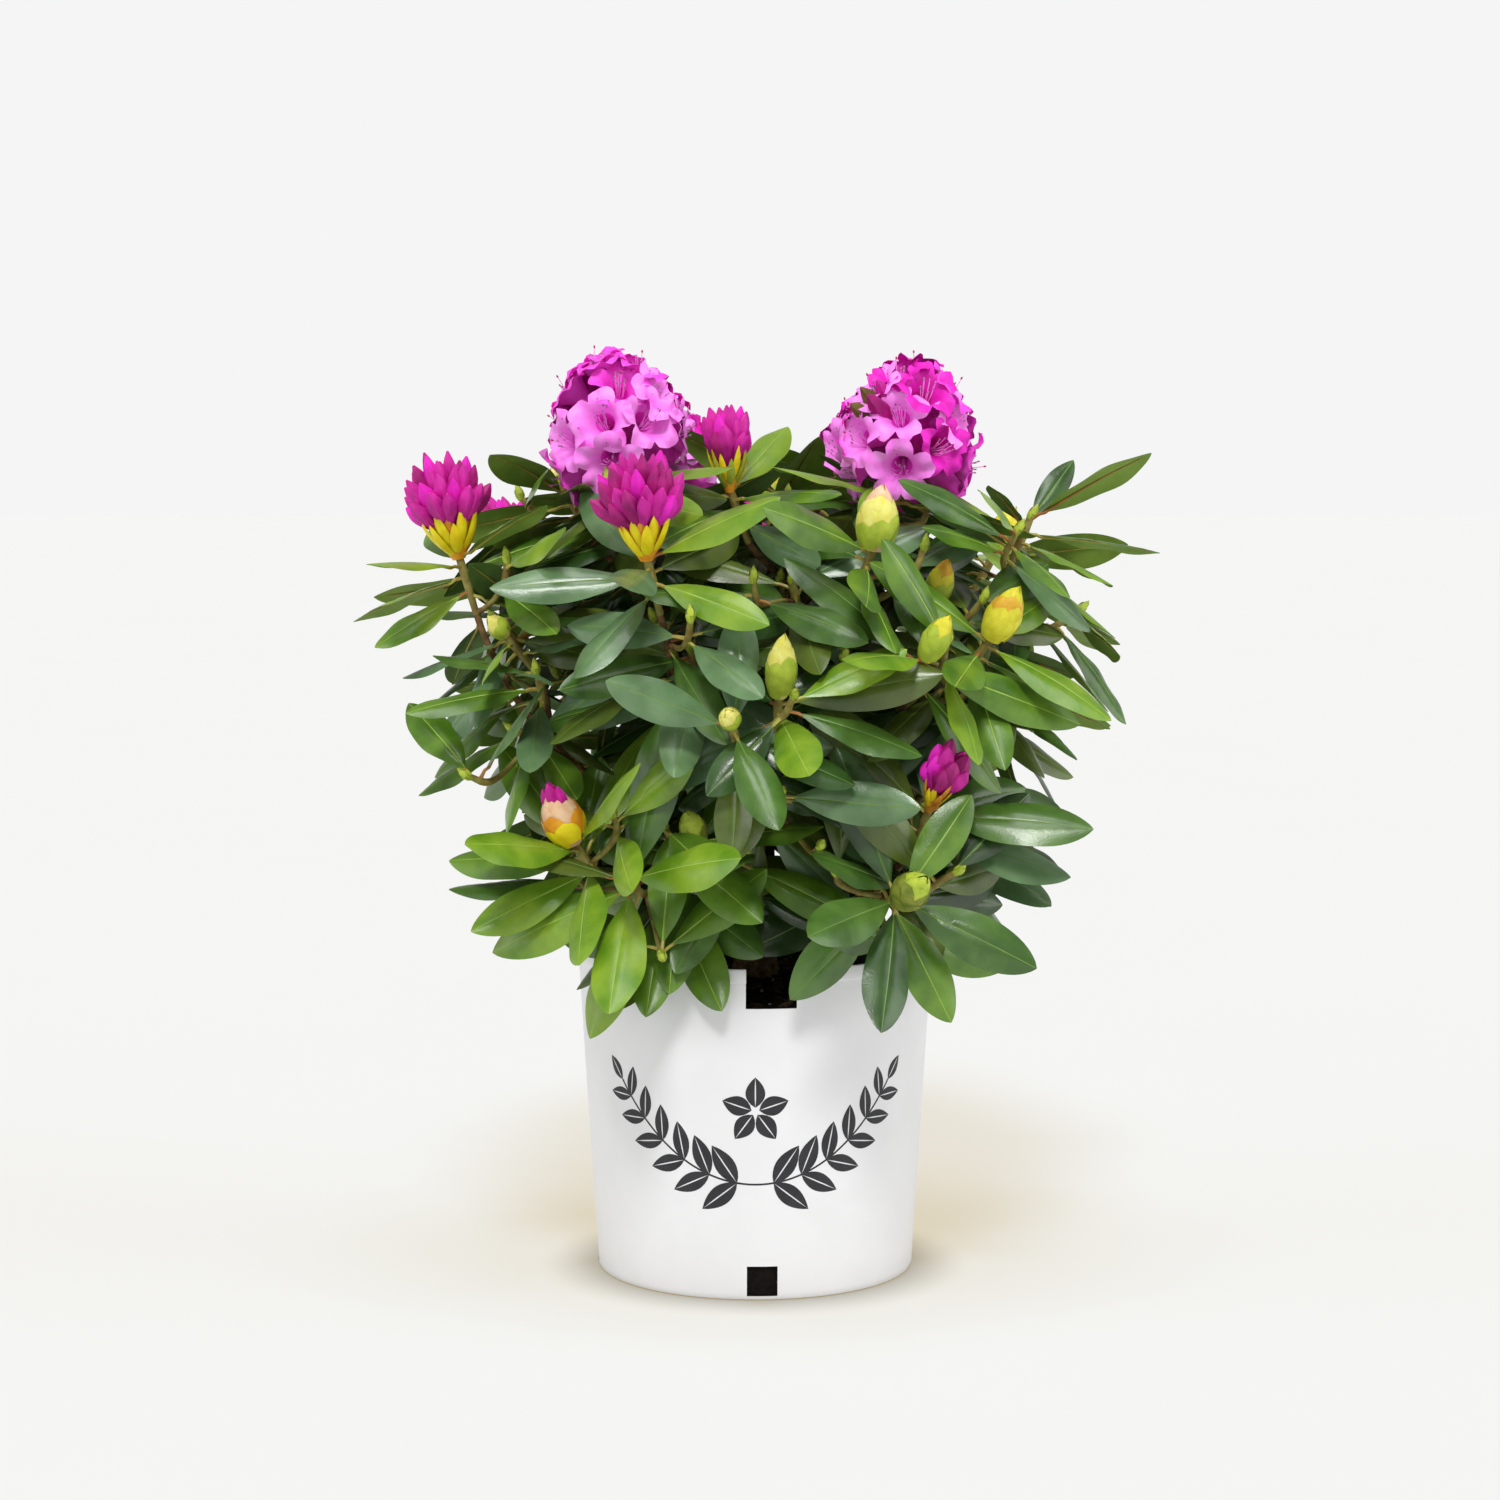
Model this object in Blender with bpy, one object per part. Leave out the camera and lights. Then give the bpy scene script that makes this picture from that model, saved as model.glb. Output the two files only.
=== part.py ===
"""A potted rhododendron: a young evergreen shrub coming into flower, in a white nursery pot.

Metres, +Z up. The origin is the middle of the pot's flat underside. Bearings are degrees
round the pot's axis from +X, so the front, where the best blooms face, is at 270.
"""

import math
import random
from collections import namedtuple

import bmesh
import bpy
from mathutils import Vector
from mathutils.bvhtree import BVHTree

# The pot
POT_HEIGHT = 0.254
POT_TOP_RADIUS = 0.1395
POT_FOOT_RADIUS = 0.123
POT_WALL = 0.0026
POT_FLOOR = 0.003
FOOT_CHAMFER = 0.003
LIP_HEIGHT = 0.011
LIP_STEP = 0.0012
RIM_ROUND = 0.0012
SHARP_ANGLE = math.radians(30)
ROUND_STEPS = 36
DRAIN_SIDE = 0.023
DRAIN_SILL = 0.0036
DRAIN_BEARINGS = (2.4, 92.4, 182.4, 272.4)
CUT_DEPTH = 0.030
NOTCH_WIDTH = 0.038
NOTCH_DEPTH = 0.030
NOTCH_BEARING = 275.0

# The potting mix, and the gap that neighbouring solids keep
GAP = 0.0003
SOIL_EDGE_HEIGHT = 0.219
SOIL_CROWN_HEIGHT = 0.227
SOIL_CROWN_RADIUS = 0.034

# The trunk and the boughs
TRUNK_HEIGHT = 0.074
TRUNK_FLARE_RADIUS = 0.021
FLARE_FADE = 0.008
TRUNK_FOOT_RADIUS = 0.0150
TRUNK_TOP_RADIUS = 0.0130
TRUNK_LEAN = 0.004
TRUNK_SHARES = (0, 0.05, 0.13, 0.25, 0.5, 0.75, 1)
TRUNK_BEVEL = 6
BOUGH_FOOT_RADIUS = 0.0050
BOUGH_TIP_RADIUS = 0.0036
BOUGH_COLLAR = 0.006
BOUGH_STATIONS = 5
BOUGH_SIDES = 6
BOUGH_BEVEL = 1
BOUGH_PULL = 0.4
BOUGH_SHARE = 0.52
FORK_SHARE = 0.68
TIER_HEIGHTS = {"low": 0.030, "high": 0.052, "top": TRUNK_HEIGHT}
TOP_RING_RADIUS = 0.0066

# Twigs and leaves
STEM_RADIUS = 0.0036
STEM_END_RADIUS = 0.002
STEM_OVERSHOOT = 1.06
STEM_SIDES = 5
TWIG_SIDES = 3
TWIG_RADIUS = 0.0030
TWIG_TIP_RADIUS = 0.0026
TWIG_STATIONS = 4
TWIG_WOBBLE = 0.003
TWIG_FOOT_PULL, TWIG_TIP_PULL = 0.3, 0.45
LEAF_LENGTH = 0.121
LEAF_WIDTH = 0.046
LEAF_THICKNESS = 0.0014
PETIOLE_RADIUS = 0.0013
PETIOLE_SHARE = 0.13
PETIOLE_TOP = 0.0006
LEAF_LOW, LEAF_LOW_WIDTH = 0.38, 0.86
LEAF_HIGH, LEAF_HIGH_WIDTH = 0.76, 0.90
LEAF_CREST = 0.56
LEAF_FOLD = 0.13
LEAF_ARCH = 0.13
LEAF_ROLL = 0.8
GOLDEN_ANGLE = math.radians(137.508)
WHORL_START = 0.004
WHORL_STEP = 0.0036
WHORL_RANKS = 8
OLD_LEAF_STEP = 0.021
LEAF_CLEARANCE = 0.0012
POT_CLEARANCE = 0.005
BLADE_SHARE = 0.10
LIMB_ALLOWANCE = 1.25
LEAF_SCALES = (1.0, 0.85)
SEED = 11

# How leaves stand: degrees from their shoot's axis at the top and foot of a whorl, and on older
# wood, and how far a wide truss presses them down. Then how they droop and what they face.
TOP_FALL, FOOT_FALL, OLD_FALL, TRUSS_FALL = 56, 102, 108, 14
TOP_DROOP, FOOT_DROOP = 0.10, 0.20
FACE_SKY, FACE_OUT = 0.7, 0.5

# How far a leaf may turn round its shoot, and towards or away from the tip, to find free space
LEAF_TURNS = (
    (0, 0), (10, 0), (-10, 0), (0, 10), (0, -10), (20, 0), (-20, 0), (12, 14), (-12, 14),
    (0, 22), (12, -14), (-12, -14), (32, 0), (-32, 0), (24, 20), (-24, 20), (0, -22),
)

# Flower heads: how far each kind reaches above its shoot's tip, and its radius
HEAD_SIZES = {
    "open": (0.098, 0.054),
    "half": (0.080, 0.031),
    "young": (0.068, 0.021),
    "show": (0.052, 0.018),
    "bud": (0.044, 0.0125),
    "small": (0.022, 0.0075),
}
HEAD_SINK = 0.004

# The profiles of the heads, as (height, radius): lengths in the truss's core, elsewhere shares
TRUSS_CORE = ((0, 0.005), (0.030, 0.013), (0.056, 0.016), (0.072, 0))
HALF_CORE = ((0, 0.18), (0.26, 0.62), (0.60, 0.84), (0.82, 0.50), (0.90, 0))
PETALS = ((0.3, 0.26), (0.72, 0.22), (1, 0))
BUD = ((0, 0.45), (0.34, 1), (0.62, 0.78), (1.09, 0))
FLORETS, FLORETS_LOWEST, FLORET_RADIUS, FLORET_HOLLOW = 12, -0.42, 0.0210, 0.72
PETAL_TUFTS, TUFTS_LOWEST, TUFT_HEART = 7, 0.25, 0.40

Shoot = namedtuple("Shoot", "bearing reach height lean head leaves spin size spread", defaults=(1, 0))
Mass = namedtuple("Mass", "tier foot_bearing shoots")
Leaf = namedtuple("Leaf", "root direction normal length width arch fold")
Twig = namedtuple("Twig", "shoot path leaves rule")

# Each mass of foliage: where its bough leaves the trunk, and its shoots. A shoot's tip is given
# by its bearing, its reach from the axis and its height; lean is its tilt outwards in degrees,
# spin turns its leaves round it, size scales them, and spread opens them wider, in degrees.
MASSES = {
    "front_left": Mass("high", 222, (
        Shoot(242, 0.169, 0.560, 12, "half", 9, 20, 0.95),
        Shoot(248, 0.128, 0.490, 38, "leafy", 9, 100),
    )),
    "low_front_left": Mass("low", 236, (
        Shoot(241, 0.194, 0.325, 52, "leafy", 9, 12, 1.03),
        Shoot(226, 0.195, 0.352, 30, "show", 9, 225, 1, -22),
        Shoot(252, 0.140, 0.350, 45, "bud", 8, 40),
    )),
    "low_front_right": Mass("low", 300, (
        Shoot(299, 0.218, 0.314, 60, "bud", 9, 46, 0.94),
        Shoot(311, 0.195, 0.376, 30, "show", 9, 0, 1, -14),
        Shoot(345, 0.150, 0.350, 50, "leafy", 8, 90),
    )),
    "mid_front": Mass("high", 270, (
        Shoot(265, 0.205, 0.443, 58, "small", 9, 30, 0.78),
        Shoot(276, 0.168, 0.462, 30, "bud", 8, 80),
        Shoot(280, 0.120, 0.372, 55, "leafy", 9, 10),
    )),
    "mid_front_right": Mass("high", 322, (
        Shoot(326, 0.212, 0.500, 30, "bud", 9, 0, 0.93),
        Shoot(308, 0.203, 0.488, 38, "bud", 9, 60),
        Shoot(330, 0.155, 0.524, 20, "bud", 8, 110),
    )),
    "upper_front": Mass("top", 285, (
        Shoot(304, 0.156, 0.567, 12, "bud", 9, 45),
        Shoot(285, 0.105, 0.540, 18, "leafy", 9, 5),
    )),
    "left": Mass("low", 188, (
        Shoot(195, 0.232, 0.558, 12, "half", 9, 40, 0.86),
        Shoot(203, 0.205, 0.500, 45, "small", 9, 60, 0.78),
        Shoot(207, 0.203, 0.428, 55, "leafy", 9, 100, 0.8),
    )),
    "right": Mass("low", 352, (
        Shoot(350, 0.213, 0.586, 30, "leafy", 10, 250, 0.92, -18),
        Shoot(354, 0.214, 0.530, 46, "leafy", 9, 70, 0.85),
        Shoot(345, 0.175, 0.440, 50, "leafy", 9, 30, 0.86),
    )),
    "top_left": Mass("top", 165, (
        Shoot(197, 0.106, 0.612, 6, "open", 9, 30),
        Shoot(168, 0.155, 0.608, 22, "small", 9, 90, 1, -12),
    )),
    "top_right": Mass("top", 45, (
        Shoot(349, 0.113, 0.606, 8, "open", 9, 0),
        Shoot(247, 0.050, 0.608, 6, "young", 8, 75, 0.9),
        Shoot(60, 0.050, 0.600, 15, "leafy", 9, 20),
    )),
    "back_left": Mass("high", 128, (
        Shoot(150, 0.215, 0.540, 26, "young", 9, 40),
        Shoot(122, 0.155, 0.590, 12, "open", 9, 0),
        Shoot(140, 0.200, 0.460, 50, "bud", 9, 80),
    )),
    "back": Mass("high", 88, (
        Shoot(92, 0.215, 0.530, 22, "half", 9, 10),
        Shoot(84, 0.130, 0.588, 12, "bud", 9, 50),
        Shoot(97, 0.205, 0.440, 50, "bud", 9, 95),
    )),
    "back_right": Mass("high", 50, (
        Shoot(26, 0.215, 0.555, 26, "bud", 9, 60),
        Shoot(54, 0.165, 0.590, 12, "open", 9, 25),
        Shoot(42, 0.210, 0.470, 48, "bud", 9, 0),
    )),
    "low_back_left": Mass("low", 150, (
        Shoot(152, 0.158, 0.360, 55, "bud", 9, 35, 0.9),
        Shoot(128, 0.185, 0.325, 62, "leafy", 9, 75, 0.95),
        Shoot(112, 0.185, 0.375, 45, "show", 9, 0),
        Shoot(184, 0.125, 0.380, 50, "leafy", 8, 30, 0.85),
    )),
    "low_back_right": Mass("low", 28, (
        Shoot(20, 0.150, 0.370, 55, "bud", 9, 15, 0.85),
        Shoot(52, 0.182, 0.325, 62, "leafy", 9, 65, 0.92),
        Shoot(68, 0.190, 0.375, 42, "bud", 9, 100),
        Shoot(2, 0.125, 0.385, 50, "leafy", 8, 60, 0.85),
    )),
}


def polar(bearing, reach, height):
    turn = math.radians(bearing)
    return Vector((reach * math.cos(turn), reach * math.sin(turn), height))


def smooth_curve(start, start_pull, end, end_pull, count):
    """Points along a cubic Bezier curve, whose handles are the two pulls."""
    points = []
    for i in range(count):
        t = i / (count - 1)
        s = 1 - t
        points.append(
            start * s ** 3
            + (start + start_pull) * 3 * s * s * t
            + (end - end_pull) * 3 * s * t * t
            + end * t ** 3
        )
    return points


def frames_along(points, first_side):
    """A side vector at each point of a path, carried along it without twisting."""
    sides = []
    side = first_side
    for i in range(len(points)):
        ahead = points[min(i + 1, len(points) - 1)] - points[max(i - 1, 0)]
        ahead.normalize()
        side = (side - ahead * side.dot(ahead)).normalized()
        sides.append((side, ahead.cross(side)))
    return sides


def any_side(direction):
    helper = Vector((1, 0, 0)) if abs(direction.x) < 0.8 else Vector((0, 1, 0))
    return direction.cross(helper).normalized()


# Where the trunk, the boughs and the stems run

def trunk_point(height):
    """The trunk's centre at a height above its foot: it rises straight, then leans."""
    return Vector((TRUNK_LEAN * (height / TRUNK_HEIGHT) ** 2, 0, SOIL_CROWN_HEIGHT + GAP + height))


def trunk_radius(height):
    flare = (TRUNK_FLARE_RADIUS - TRUNK_FOOT_RADIUS) * math.exp(-height / FLARE_FADE)
    taper = TRUNK_FOOT_RADIUS + (TRUNK_TOP_RADIUS - TRUNK_FOOT_RADIUS) * height / TRUNK_HEIGHT
    return taper + flare


def shoot_tip(shoot):
    return polar(shoot.bearing, shoot.reach, shoot.height)


def shoot_axis(shoot):
    lean = math.radians(shoot.lean)
    return polar(shoot.bearing, math.sin(lean), math.cos(lean))


def mass_route(mass):
    """Where a mass's stem starts and forks, between its place on the trunk and its shoots' middle."""
    hub = trunk_point(TIER_HEIGHTS[mass.tier])
    middle = sum((shoot_tip(s) for s in mass.shoots), Vector()) / len(mass.shoots)
    lowest = min(shoot_tip(s).z for s in mass.shoots)
    middle.z = 0.5 * middle.z + 0.5 * lowest
    base = hub.lerp(middle, BOUGH_SHARE)
    fork = hub.lerp(middle, FORK_SHARE)
    return base, fork


def bough_path(mass):
    """A bough's route: square off the trunk by a short collar, round to its mass, 0.3 mm clear of both."""
    base, middle = mass_route(mass)
    ahead = (middle - base).normalized()
    tip = base - ahead * GAP
    out = polar(mass.foot_bearing, 1, 0)
    if mass.tier == "top":
        fork = trunk_point(TRUNK_HEIGHT)
        rise = (fork - trunk_point(TRUNK_HEIGHT * TRUNK_SHARES[-2])).normalized()
        foot = fork + (out - rise * out.dot(rise)) * TOP_RING_RADIUS + rise * GAP
        out = rise
    else:
        height = TIER_HEIGHTS[mass.tier]
        foot = trunk_point(height) + out * (trunk_radius(height - BOUGH_FOOT_RADIUS) + 2 * GAP)
    collar = foot + out * BOUGH_COLLAR
    pull = (tip - collar).length * BOUGH_PULL
    neck = tip - ahead * BOUGH_COLLAR
    return [foot] + smooth_curve(collar, out * pull, neck, ahead * pull, BOUGH_STATIONS) + [tip]


def twig_path(fork, incoming, shoot, rule):
    tip = shoot_tip(shoot)
    axis = shoot_axis(shoot)
    length = (tip - fork).length
    pulls = incoming * length * TWIG_FOOT_PULL, axis * length * TWIG_TIP_PULL
    path = smooth_curve(fork, pulls[0], tip, pulls[1], TWIG_STATIONS)
    for i in range(1, len(path) - 1):
        path[i] = path[i] + Vector([rule.uniform(-1, 1) for _ in range(3)]) * TWIG_WOBBLE
    return path


# Closed bodies, each as a list of points and a list of faces

def outward(points, faces):
    """The same body with its faces turned to point outwards."""
    volume = 0.0
    for face in faces:
        for i in range(1, len(face) - 1):
            a, b, c = points[face[0]], points[face[i]], points[face[i + 1]]
            volume += a.dot(b.cross(c))
    if volume < 0:
        faces = [tuple(reversed(face)) for face in faces]
    return points, faces


def tube_body(path, radii, sides):
    """A tapering limb with flat ends."""
    points = []
    for place, radius, (side, up) in zip(path, radii, frames_along(path, any_side(path[1] - path[0]))):
        for k in range(sides):
            turn = 2 * math.pi * k / sides
            points.append(place + (side * math.cos(turn) + up * math.sin(turn)) * radius)
    faces = [tuple(range(sides)), tuple(len(points) - 1 - k for k in range(sides))]
    for i in range(len(path) - 1):
        for k in range(sides):
            a, b = i * sides + k, i * sides + (k + 1) % sides
            faces.append((a, a + sides, b + sides, b))
    return outward(points, faces)


def turned_body(foot, axis, stations, sides):
    """A body turned round an axis: stations are (height, radius), and it ends in a point."""
    side = any_side(axis)
    up = axis.cross(side)
    points = []
    for height, radius in stations[:-1]:
        for k in range(sides):
            angle = 2 * math.pi * k / sides
            points.append(foot + axis * height + (side * math.cos(angle) + up * math.sin(angle)) * radius)
    tip = len(points)
    points.append(foot + axis * stations[-1][0])
    faces = [tuple(range(sides))]
    for i in range(len(stations) - 2):
        for k in range(sides):
            a, b = i * sides + k, i * sides + (k + 1) % sides
            faces.append((a, a + sides, b + sides, b))
    last = (len(stations) - 2) * sides
    for k in range(sides):
        faces.append((last + k, tip, last + (k + 1) % sides))
    return outward(points, faces)


def leaf_midrib(leaf, t):
    """The point at share t of a leaf's length, along its drooping midrib."""
    return leaf.root + (leaf.direction * t - leaf.normal * leaf.arch * t * t) * leaf.length


def leaf_body(leaf, root_share=0.0, grown=0.0):
    """A leaf as a closed body: a three-sided petiole, and a blade that is highest along its middle.

    root_share starts it further out along the midrib, and grown makes it larger all over."""
    side = leaf.direction.cross(leaf.normal)
    up = leaf.normal
    half = leaf.width / 2 + grown

    def petiole_ring(t):
        place = leaf_midrib(leaf, t)
        return [
            place + side * PETIOLE_RADIUS + up * PETIOLE_TOP,
            place - side * PETIOLE_RADIUS + up * PETIOLE_TOP,
            place - up * (PETIOLE_RADIUS + grown),
        ]

    def blade_edges(t, share):
        place = leaf_midrib(leaf, t) - up * (leaf.fold * half * share + grown)
        return [place + side * half * share, place - side * half * share]

    points = (
        petiole_ring(root_share)
        + petiole_ring(max(PETIOLE_SHARE, root_share + 0.02))
        + blade_edges(LEAF_LOW, LEAF_LOW_WIDTH)
        + blade_edges(LEAF_HIGH, LEAF_HIGH_WIDTH)
        + [leaf_midrib(leaf, 1.0) + leaf.direction * grown]
        + [leaf_midrib(leaf, LEAF_CREST) + up * (LEAF_THICKNESS / 2 + grown)]
    )
    root_a, root_b, root_c, neck_a, neck_b, neck_c, low_a, low_b, high_a, high_b, tip, crest = range(12)
    rim = [neck_a, low_a, high_a, tip, high_b, low_b, neck_b]
    faces = [
        (root_a, root_b, root_c),
        (root_b, root_a, neck_a, neck_b),
        (root_a, root_c, neck_c, neck_a),
        (root_c, root_b, neck_b, neck_c),
        (neck_c, neck_b, low_b),
        (neck_c, low_b, low_a),
        (neck_c, low_a, neck_a),
        (low_a, low_b, high_b),
        (low_a, high_b, high_a),
        (high_a, high_b, tip),
    ]
    faces += [(crest, a, b) for a, b in zip(rim, rim[1:] + rim[:1])]
    return outward(points, faces)


def ball_points(count, lowest):
    """Directions spread evenly over a ball, from its top down to the height named by lowest."""
    found = []
    for i in range(count):
        z = 1 - (i + 0.5) / count * (1 - lowest)
        ring = math.sqrt(max(0.0, 1 - z * z))
        found.append(Vector((ring * math.cos(i * GOLDEN_ANGLE), ring * math.sin(i * GOLDEN_ANGLE), z)))
    return found


def turned_to(direction, axis):
    """A direction given round +Z, turned to stand round an axis."""
    side = any_side(axis)
    return side * direction.x + axis.cross(side) * direction.y + axis * direction.z


def floret_body(centre, direction, reach, radius):
    """An open floret: a five-sided funnel with a hollow face."""
    side = any_side(direction)
    up = direction.cross(side)
    points = [centre, centre + direction * reach * FLORET_HOLLOW]
    for k in range(5):
        turn = 2 * math.pi * k / 5
        points.append(centre + direction * reach + (side * math.cos(turn) + up * math.sin(turn)) * radius)
    faces = []
    for k in range(5):
        a, b = 2 + k, 2 + (k + 1) % 5
        faces += [(0, a, b), (1, b, a)]
    return outward(points, faces)


def head_bodies(shoot):
    """The bodies of the flower head or bud on a shoot's tip."""
    if shoot.head == "leafy":
        return []
    tip, axis = shoot_tip(shoot), shoot_axis(shoot)
    reach, radius = HEAD_SIZES[shoot.head]
    foot = tip - axis * HEAD_SINK
    if shoot.head == "open":
        heart = tip + axis * (reach - radius - HEAD_SINK)
        bodies = [turned_body(foot, axis, TRUSS_CORE, 6)]
        for direction in ball_points(FLORETS, FLORETS_LOWEST):
            bodies.append(floret_body(heart, turned_to(direction, axis), radius, FLORET_RADIUS))
        return bodies
    if shoot.head in ("half", "young"):
        heart = tip + axis * reach * TUFT_HEART
        bodies = [turned_body(foot, axis, [(h * reach, r * radius) for h, r in HALF_CORE], 6)]
        for direction in ball_points(PETAL_TUFTS, TUFTS_LOWEST):
            far = radius + (reach * (1 - TUFT_HEART) - radius) * direction.z ** 2
            tuft = [(h * far, r * radius) for h, r in PETALS]
            bodies.append(turned_body(heart, turned_to(direction, axis), tuft, 3))
        return bodies
    return [turned_body(foot, axis, [(h * reach, r * radius) for h, r in BUD], 5)]


# Growth: leaves are placed one by one, and each keeps clear of all that is there already

class Obstacles:
    """The bodies that a new leaf may not touch, each with the mass that owns it."""

    def __init__(self):
        self.found = []

    def add(self, owner, body):
        self.found.append((owner, *self.ball_round(body), BVHTree.FromPolygons(*body)))

    @staticmethod
    def ball_round(body):
        points = body[0]
        centre = sum(points, Vector()) / len(points)
        return centre, max((p - centre).length for p in points)

    def touches(self, owner, blade, leaf):
        """True if the blade touches a body of its own mass, or the whole leaf one of another's."""
        centre, radius = self.ball_round(leaf)
        trees = {}
        for other_owner, other_centre, other_radius, other in self.found:
            if (centre - other_centre).length > radius + other_radius:
                continue
            own = other_owner == owner
            if own not in trees:
                trees[own] = BVHTree.FromPolygons(*(blade if own else leaf))
            if trees[own].overlap(other):
                return True
        return False


def near_pot(points):
    """True if a body comes near the pot or what is in it."""
    wall = POT_TOP_RADIUS + POT_CLEARANCE
    return any(p.z < POT_HEIGHT + POT_CLEARANCE and math.hypot(p.x, p.y) < wall for p in points)


def leaf_on_shoot(shoot, path, rank, jitter, turn, tilt, scale):
    """The leaf of one rank on a shoot, turned and tilted by some degrees from its usual place."""
    axis = shoot_axis(shoot)
    tangent = polar(shoot.bearing + 90, 1, 0)
    across = axis.cross(tangent)
    share = min(rank / WHORL_RANKS, 1)
    older = max(0, rank - WHORL_RANKS)
    below = WHORL_START + WHORL_STEP * WHORL_RANKS * share + OLD_LEAF_STEP * older
    root, along = point_before_end(path, below)
    azimuth = math.radians(shoot.spin + turn) + GOLDEN_ANGLE * rank + jitter[0] * 0.16
    fall = OLD_FALL if older else TOP_FALL + (FOOT_FALL - TOP_FALL) * share
    if shoot.head == "open":
        fall += TRUSS_FALL
    fall = math.radians(fall + shoot.spread + tilt + jitter[1] * 5)
    around = tangent * math.cos(azimuth) + across * math.sin(azimuth)
    direction = axis * math.cos(fall) + around * math.sin(fall)
    direction.z -= TOP_DROOP + (FOOT_DROOP - TOP_DROOP) * rank / WHORL_RANKS
    direction.normalize()
    light = (axis + Vector((0, 0, FACE_SKY)) + polar(shoot.bearing, FACE_OUT, 0)).normalized()
    normal = light - direction * light.dot(direction)
    if normal.length < 0.25:
        normal = along - direction * along.dot(direction)
    normal.normalize()
    normal = (normal + direction.cross(normal) * jitter[6] * LEAF_ROLL).normalized()
    size = shoot.size * scale * (0.86 + 0.15 * math.sin(math.pi * min(rank + 1.5, 8) / 8) + 0.05 * jitter[2])
    if shoot.head in ("show", "small", "bud") and rank == 0:
        size *= 0.82
    width = LEAF_WIDTH * (0.35 + 0.65 * size) * (1 + 0.08 * jitter[3])
    arch = LEAF_ARCH * (1 + 0.5 * jitter[4])
    return Leaf(root, direction, normal, LEAF_LENGTH * size, width, arch, LEAF_FOLD + 0.05 * jitter[5])


def point_before_end(path, distance):
    """The point that lies a distance before the end of a path, and the path's direction there."""
    left = distance
    for a, b in zip(reversed(path[:-1]), reversed(path[1:])):
        step = (b - a).length
        if left <= step:
            return b.lerp(a, left / step), (b - a).normalized()
        left -= step
    return path[0].copy(), (path[1] - path[0]).normalized()


def grow():
    """Every twig and leaf of the plant, by mass: {name: (stem path, [Twig, ...])}."""
    obstacles = Obstacles()
    grown = {}
    for name, mass in MASSES.items():
        bough = bough_path(mass)
        obstacles.add("boughs", tube_body(bough, [BOUGH_FOOT_RADIUS] * len(bough), BOUGH_SIDES))
        base, fork = mass_route(mass)
        obstacles.add(name, tube_body([base, fork], [STEM_RADIUS * LIMB_ALLOWANCE] * 2, 4))
        twigs = []
        for number, shoot in enumerate(mass.shoots):
            rule = random.Random(f"{SEED} {name} {number}")
            path = twig_path(fork, (fork - base).normalized(), shoot, rule)
            obstacles.add(name, tube_body(path, [TWIG_RADIUS * LIMB_ALLOWANCE] * len(path), 4))
            for body in head_bodies(shoot):
                obstacles.add(name, body)
            twigs.append(Twig(shoot, path, [], rule))
        grown[name] = ([base, fork], twigs)
    for name, (_, twigs) in grown.items():
        for twig in twigs:
            for rank in range(twig.shoot.leaves):
                jitter = [twig.rule.uniform(-1, 1) for _ in range(7)]
                leaf = free_leaf(obstacles, name, twig, rank, jitter)
                if leaf:
                    obstacles.add(name, leaf_body(leaf, 0.0, LEAF_CLEARANCE))
                    twig.leaves.append(leaf)
    return grown


def free_leaf(obstacles, owner, twig, rank, jitter):
    """The leaf of one rank at the first turn and size that has free space, or None."""
    for scale in LEAF_SCALES:
        for turn, tilt in LEAF_TURNS:
            leaf = leaf_on_shoot(twig.shoot, twig.path, rank, jitter, turn, tilt, scale)
            whole = leaf_body(leaf, 0.0, LEAF_CLEARANCE)
            blade = leaf_body(leaf, BLADE_SHARE, LEAF_CLEARANCE)
            if not near_pot(whole[0]) and not obstacles.touches(owner, blade, whole):
                return leaf
    return None


# Blender objects

def material(name, colour, roughness):
    made = bpy.data.materials.new(name)
    made.use_nodes = True
    shader = made.node_tree.nodes["Principled BSDF"]
    shader.inputs["Base Color"].default_value = (*colour, 1)
    shader.inputs["Roughness"].default_value = roughness
    shader.inputs["Metallic"].default_value = 0.0
    return made


def mesh_object(name, body, finish, collection=None):
    points, faces = body
    mesh = bpy.data.meshes.new(name)
    mesh.from_pydata([tuple(p) for p in points], [], faces)
    mesh.materials.append(finish)
    made = bpy.data.objects.new(name, mesh)
    (collection or bpy.context.scene.collection).objects.link(made)
    return made


def curve_limb(name, path, radii, resolution, finish):
    """A tapering limb as a bevelled curve with filled ends."""
    curve = bpy.data.curves.new(name, "CURVE")
    curve.dimensions = "3D"
    curve.bevel_depth = 1.0
    curve.bevel_resolution = resolution
    curve.use_fill_caps = True
    spline = curve.splines.new("POLY")
    spline.points.add(len(path) - 1)
    for point, place, radius in zip(spline.points, path, radii):
        point.co = (*place, 1)
        point.radius = radius
    curve.materials.append(finish)
    made = bpy.data.objects.new(name, curve)
    bpy.context.scene.collection.objects.link(made)
    return made


def apply_modifiers(made):
    graph = bpy.context.evaluated_depsgraph_get()
    mesh = bpy.data.meshes.new_from_object(made.evaluated_get(graph))
    made.modifiers.clear()
    made.data = mesh


def fuse(name, bodies, finish):
    """Joins closed bodies that overlap into one solid."""
    made = mesh_object(name, bodies[0], finish)
    others = bpy.data.collections.new(name + "_bodies")
    bpy.context.scene.collection.children.link(others)
    for i, body in enumerate(bodies[1:]):
        mesh_object(f"{name}_body_{i}", body, finish, others)
    join = made.modifiers.new("join", "BOOLEAN")
    join.operation = "UNION"
    join.operand_type = "COLLECTION"
    join.collection = others
    join.solver = "MANIFOLD"
    apply_modifiers(made)
    for other in list(others.objects):
        bpy.data.objects.remove(other)
    bpy.data.collections.remove(others)


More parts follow.
